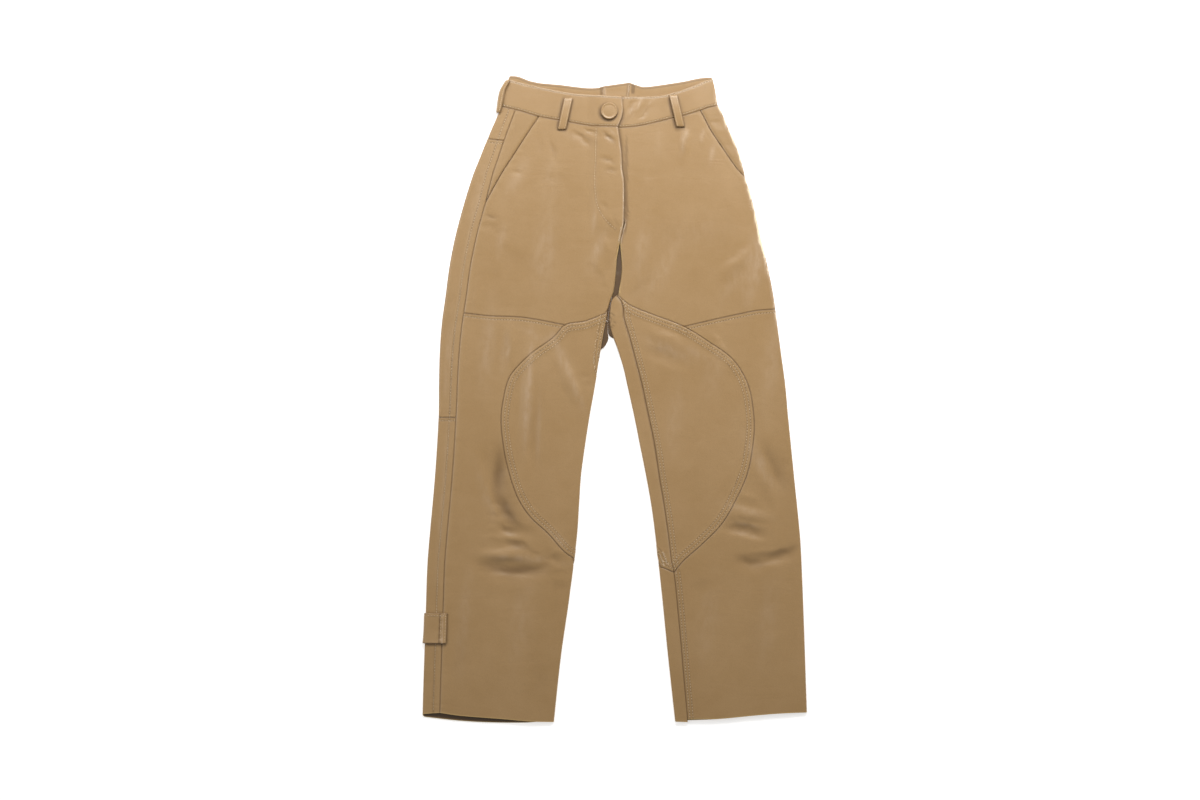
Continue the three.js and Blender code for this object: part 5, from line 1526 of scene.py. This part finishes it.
def makeTab():
    # A doubled strip round the outer fold: rounded edges, stitched down along its end and its top, its low
    # edge lifted.
    half = halves["Right"]
    start = cut["foldSpan"] * tab["turn"] / 90
    end = cut["foldSpan"] + tab["inset"] - cut["foldRadius"]
    w = np.concatenate([np.linspace(start, 22, 22), np.linspace(23, end, 34)])
    y = np.linspace(tab["top"], tab["low"], 60)
    gridW, gridY = np.meshgrid(w, y)
    down = (tab["top"] - gridY) / (tab["top"] - tab["low"])
    fromEdge = end - gridW
    fromEnds = np.minimum(tab["top"] - gridY, gridY - tab["low"])
    edge = np.minimum(fromEdge, fromEnds)
    inRoll = 1 - np.clip(edge / tab["rollWidth"], 0, 1)
    roll = tab["roll"] * (1 - np.sqrt(np.clip(1 - inRoll ** 2, 0, 1)))
    fromRows = [fromEdge - tab["innerRow"], fromEdge - tab["outerRow"], tab["top"] - gridY - tab["topRow"]]
    lines = sum(np.exp(-(away / tab["rowWidth"]) ** 2) for away in fromRows)
    step = tab["step"] * smoothStep((tab["stepAt"] - fromEdge) / tab["stepFade"])
    ripple = 0.3 * np.sin(gridY * 0.55) * np.exp(-((fromEdge - tab["innerRow"]) / 3) ** 2)
    lift = tab["lift"] * down ** 5 * smoothStep((gridW + 6) / 12)
    high = tab["over"] + tab["layer"] + lift + step - roll - tab["rowDepth"] * lines + ripple
    outer = place(half, gridW, gridY, high)
    inner = place(half, gridW, gridY, np.maximum(high - tab["layer"] + roll, 0.3))
    groups = [gridFaces(*gridW.shape)]
    seam = np.exp(-(edge / 4) ** 2).ravel()
    # Painted shade at its end, at the step where its end lies doubled, along its top edge and under its
    # lifted low edge.
    crack = 0.9 * np.exp(-((fromEdge - 11.2) / 1.1) ** 2) + 0.8 * np.exp(-(fromEdge / 1.3) ** 2)
    crack = crack + 0.6 * np.exp(-((tab["top"] - gridY) / 1.0) ** 2)
    crack = np.clip(crack + 0.95 * np.exp(-((gridY - tab["low"]) / 1.4) ** 2), 0, 1).ravel()
    rub = tab["rub"] * np.exp(-((fromEdge - tab["rubAt"]) / tab["rubWidth"]) ** 2).ravel()
    piece = shell("leather_ankle_tab_right", outer.reshape(-1, 3), inner.reshape(-1, 3), groups,
                  [("seam", seam), ("crack", crack), ("rub", rub)])
    dress(piece, "trim")
    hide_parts("ankle_tab_right")
    length = tab["top"] - tab["low"]
    lowOf = lambda w, y: tab["over"] + tab["layer"] + tab["lift"] * ((tab["top"] - y) / length) ** 5
    topOf = lambda w, y: lowOf(w, y) + 0.6
    rowY = np.linspace(tab["top"] - 3.5, tab["low"] + 2, 60)
    column = lambda inset: np.stack([np.full(60, end - inset), rowY], axis=1)
    across = np.stack([np.linspace(26, end - 3, 60), np.full(60, tab["top"] - tab["topRow"])], axis=1)
    threads = stitchPiece("leather_ankle_tab_right_stitches", [
        stitchesAlong(half, found, heightOf, trim=(0.5, 0.5))
        for found, heightOf in ((column(tab["outerRow"]), topOf), (column(tab["innerRow"]), lowOf),
                                (across, topOf))])
    height = length * mm
    areaOf(outer.reshape(-1, 3), groups) * mm * mm / height


makeLoops()
makeTab()
print("loops and tab made")


button = {"x": -8.0, "y": 430.0, "radius": 12.4, "height": 4.4, "rim": 2.3, "dish": 0.55, "crown": 0.35,
          "seat": 0.1, "pulls": 17, "pull": 0.10, "steps": 72}


def makeButton():
    # A turned disc: a rolled rim, a dished face with a slight crown, and pulled leather under its edge.
    half = halves["Right"]
    radius, height, rim = button["radius"], button["height"], button["rim"]
    turn = np.linspace(-0.45 * np.pi, 0.62 * np.pi, 15)
    middleR, middleH = radius - rim / 2 * 1.05, height - rim / 2 * 1.1
    edge = np.stack([middleR + rim / 2 * 1.05 * np.cos(turn), middleH + rim / 2 * 1.1 * np.sin(turn)], axis=1)
    face = np.linspace(edge[-1, 0] - 0.5, 0, 14)
    crown = edge[-1, 1] - button["dish"] * smoothStep((edge[-1, 0] - face) / 1.6)
    crown = crown + button["crown"] * (1 - (face / face[0]) ** 2)
    foot = np.array([[0, 0.35], [5.5, 0.35], [9.5, 0.4], [edge[0, 0] - 0.4, edge[0, 1] - 0.35]])
    profile = np.concatenate([foot, edge, np.stack([face, crown], axis=1)])
    steps = button["steps"]
    around = np.linspace(0, 2 * np.pi, steps, endpoint=False)
    w = inwardOf(half, button["x"], button["y"])
    seat = place(half, np.array([w]), np.array([button["y"]]), np.array([button["seat"]]))[0]
    out, high = profile[:, :1], profile[:, 1:]
    pull = button["pull"] * np.sin(around * button["pulls"] + 1.3)[None]
    high = high + pull * np.exp(-((out - radius) / 1.2) ** 2)
    ring = [out * np.cos(around), out * np.sin(around), high]
    verts = np.stack([at + way for at, way in zip(seat, ring)], axis=-1)
    index = np.arange(len(profile) * steps).reshape(-1, steps)
    a, b = index[:-1], index[1:]
    quads = np.stack([a, np.roll(a, -1, axis=1), np.roll(b, -1, axis=1), b], axis=-1).reshape(-1, 4)
    points = verts.reshape(-1, 3)
    # The first and last rings are single points on the axis.
    keep = np.arange(len(points))
    keep[:steps] = 0
    keep[-steps:] = len(points) - steps
    whole, tips = sortedCells(keep[quads])
    used, back = np.unique(np.concatenate([whole.ravel(), tips.ravel()]), return_inverse=True)
    whole, tips = back[:whole.size].reshape(-1, 4), back[whole.size:].reshape(-1, 3)
    points = points[used]
    smooth = np.ones(len(whole) + len(tips), bool)
    piece = meshFrom("leather_button", points, facingOut(points, [whole, tips]), smooth,
                     [("seam", np.zeros(len(points)))])
    dress(piece, "trim")
    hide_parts("button")


makeButton()
print("button made")


studio = {
    "floor": (0.93, 0.93, 0.93), "floorGlow": 0.52, "floorRoughness": 0.9, "floorReach": 4.0,
    "floorZ": -0.0006,
    "world": 0.262, "worldColour": (1, 0.99, 0.975), "lightColour": (1.0, 0.985, 0.96),
    "key": {"at": (0.16, 1.32, 1.25), "aim": (0.0, 0.3, 0), "size": (1.3, 0.7), "power": 28.5},
    "fill": {"at": (-1.4, 0.55, 1.7), "aim": (-0.1, 0.2, 0), "size": (1.2, 1.2), "power": 9.6},
    "strip": {"at": (1.4, 0.6, 0.5), "aim": (0.15, 0.25, 0), "size": (0.35, 1.3), "power": 5},
}
view = {"lens": 52.0, "sensor": 36.0, "height": 2.6, "aim": (-0.0225, -0.0009)}


def makeFloor():
    mesh = bpy.data.meshes.new("floor")
    reach, z = studio["floorReach"], studio["floorZ"]
    corners = [(-reach, -reach, z), (reach, -reach, z), (reach, reach, z), (-reach, reach, z)]
    mesh.from_pydata(corners, [], [(0, 1, 2, 3)])
    material, _, _ = newMaterial("paleFloor", {
        "Base Color": (*studio["floor"], 1), "Roughness": studio["floorRoughness"], "Specular IOR Level": 0.1,
        "Emission Color": (1, 1, 1, 1), "Emission Strength": studio["floorGlow"]})
    mesh.materials.append(material)
    linked("floor", mesh)


def makeLight(name):
    values = studio[name]
    data = bpy.data.lights.new(name, "AREA")
    data.shape = "RECTANGLE"
    data.size, data.size_y = values["size"]
    data.energy = values["power"]
    data.color = studio["lightColour"]
    light = linked(name, data)
    light.location = values["at"]
    away = Vector(values["aim"]) - Vector(values["at"])
    light.rotation_euler = away.to_track_quat("-Z", "Y").to_euler()


def makeCamera():
    data = bpy.data.cameras.new("camera")
    data.lens, data.sensor_width = view["lens"], view["sensor"]
    data.clip_start = 0.05
    camera = linked("camera", data)
    camera.location = (*view["aim"], view["height"])
    bpy.context.scene.camera = camera


makeFloor()
for lightName in ("key", "fill", "strip"):
    makeLight(lightName)
makeCamera()
world = bpy.data.worlds.new("studio")
world.use_nodes = True
world.node_tree.nodes["Background"].inputs["Color"].default_value = (*studio["worldColour"], 1)
world.node_tree.nodes["Background"].inputs["Strength"].default_value = studio["world"]
bpy.context.scene.world = world
bpy.context.scene.view_settings.view_transform = "Standard"
print("stage made")
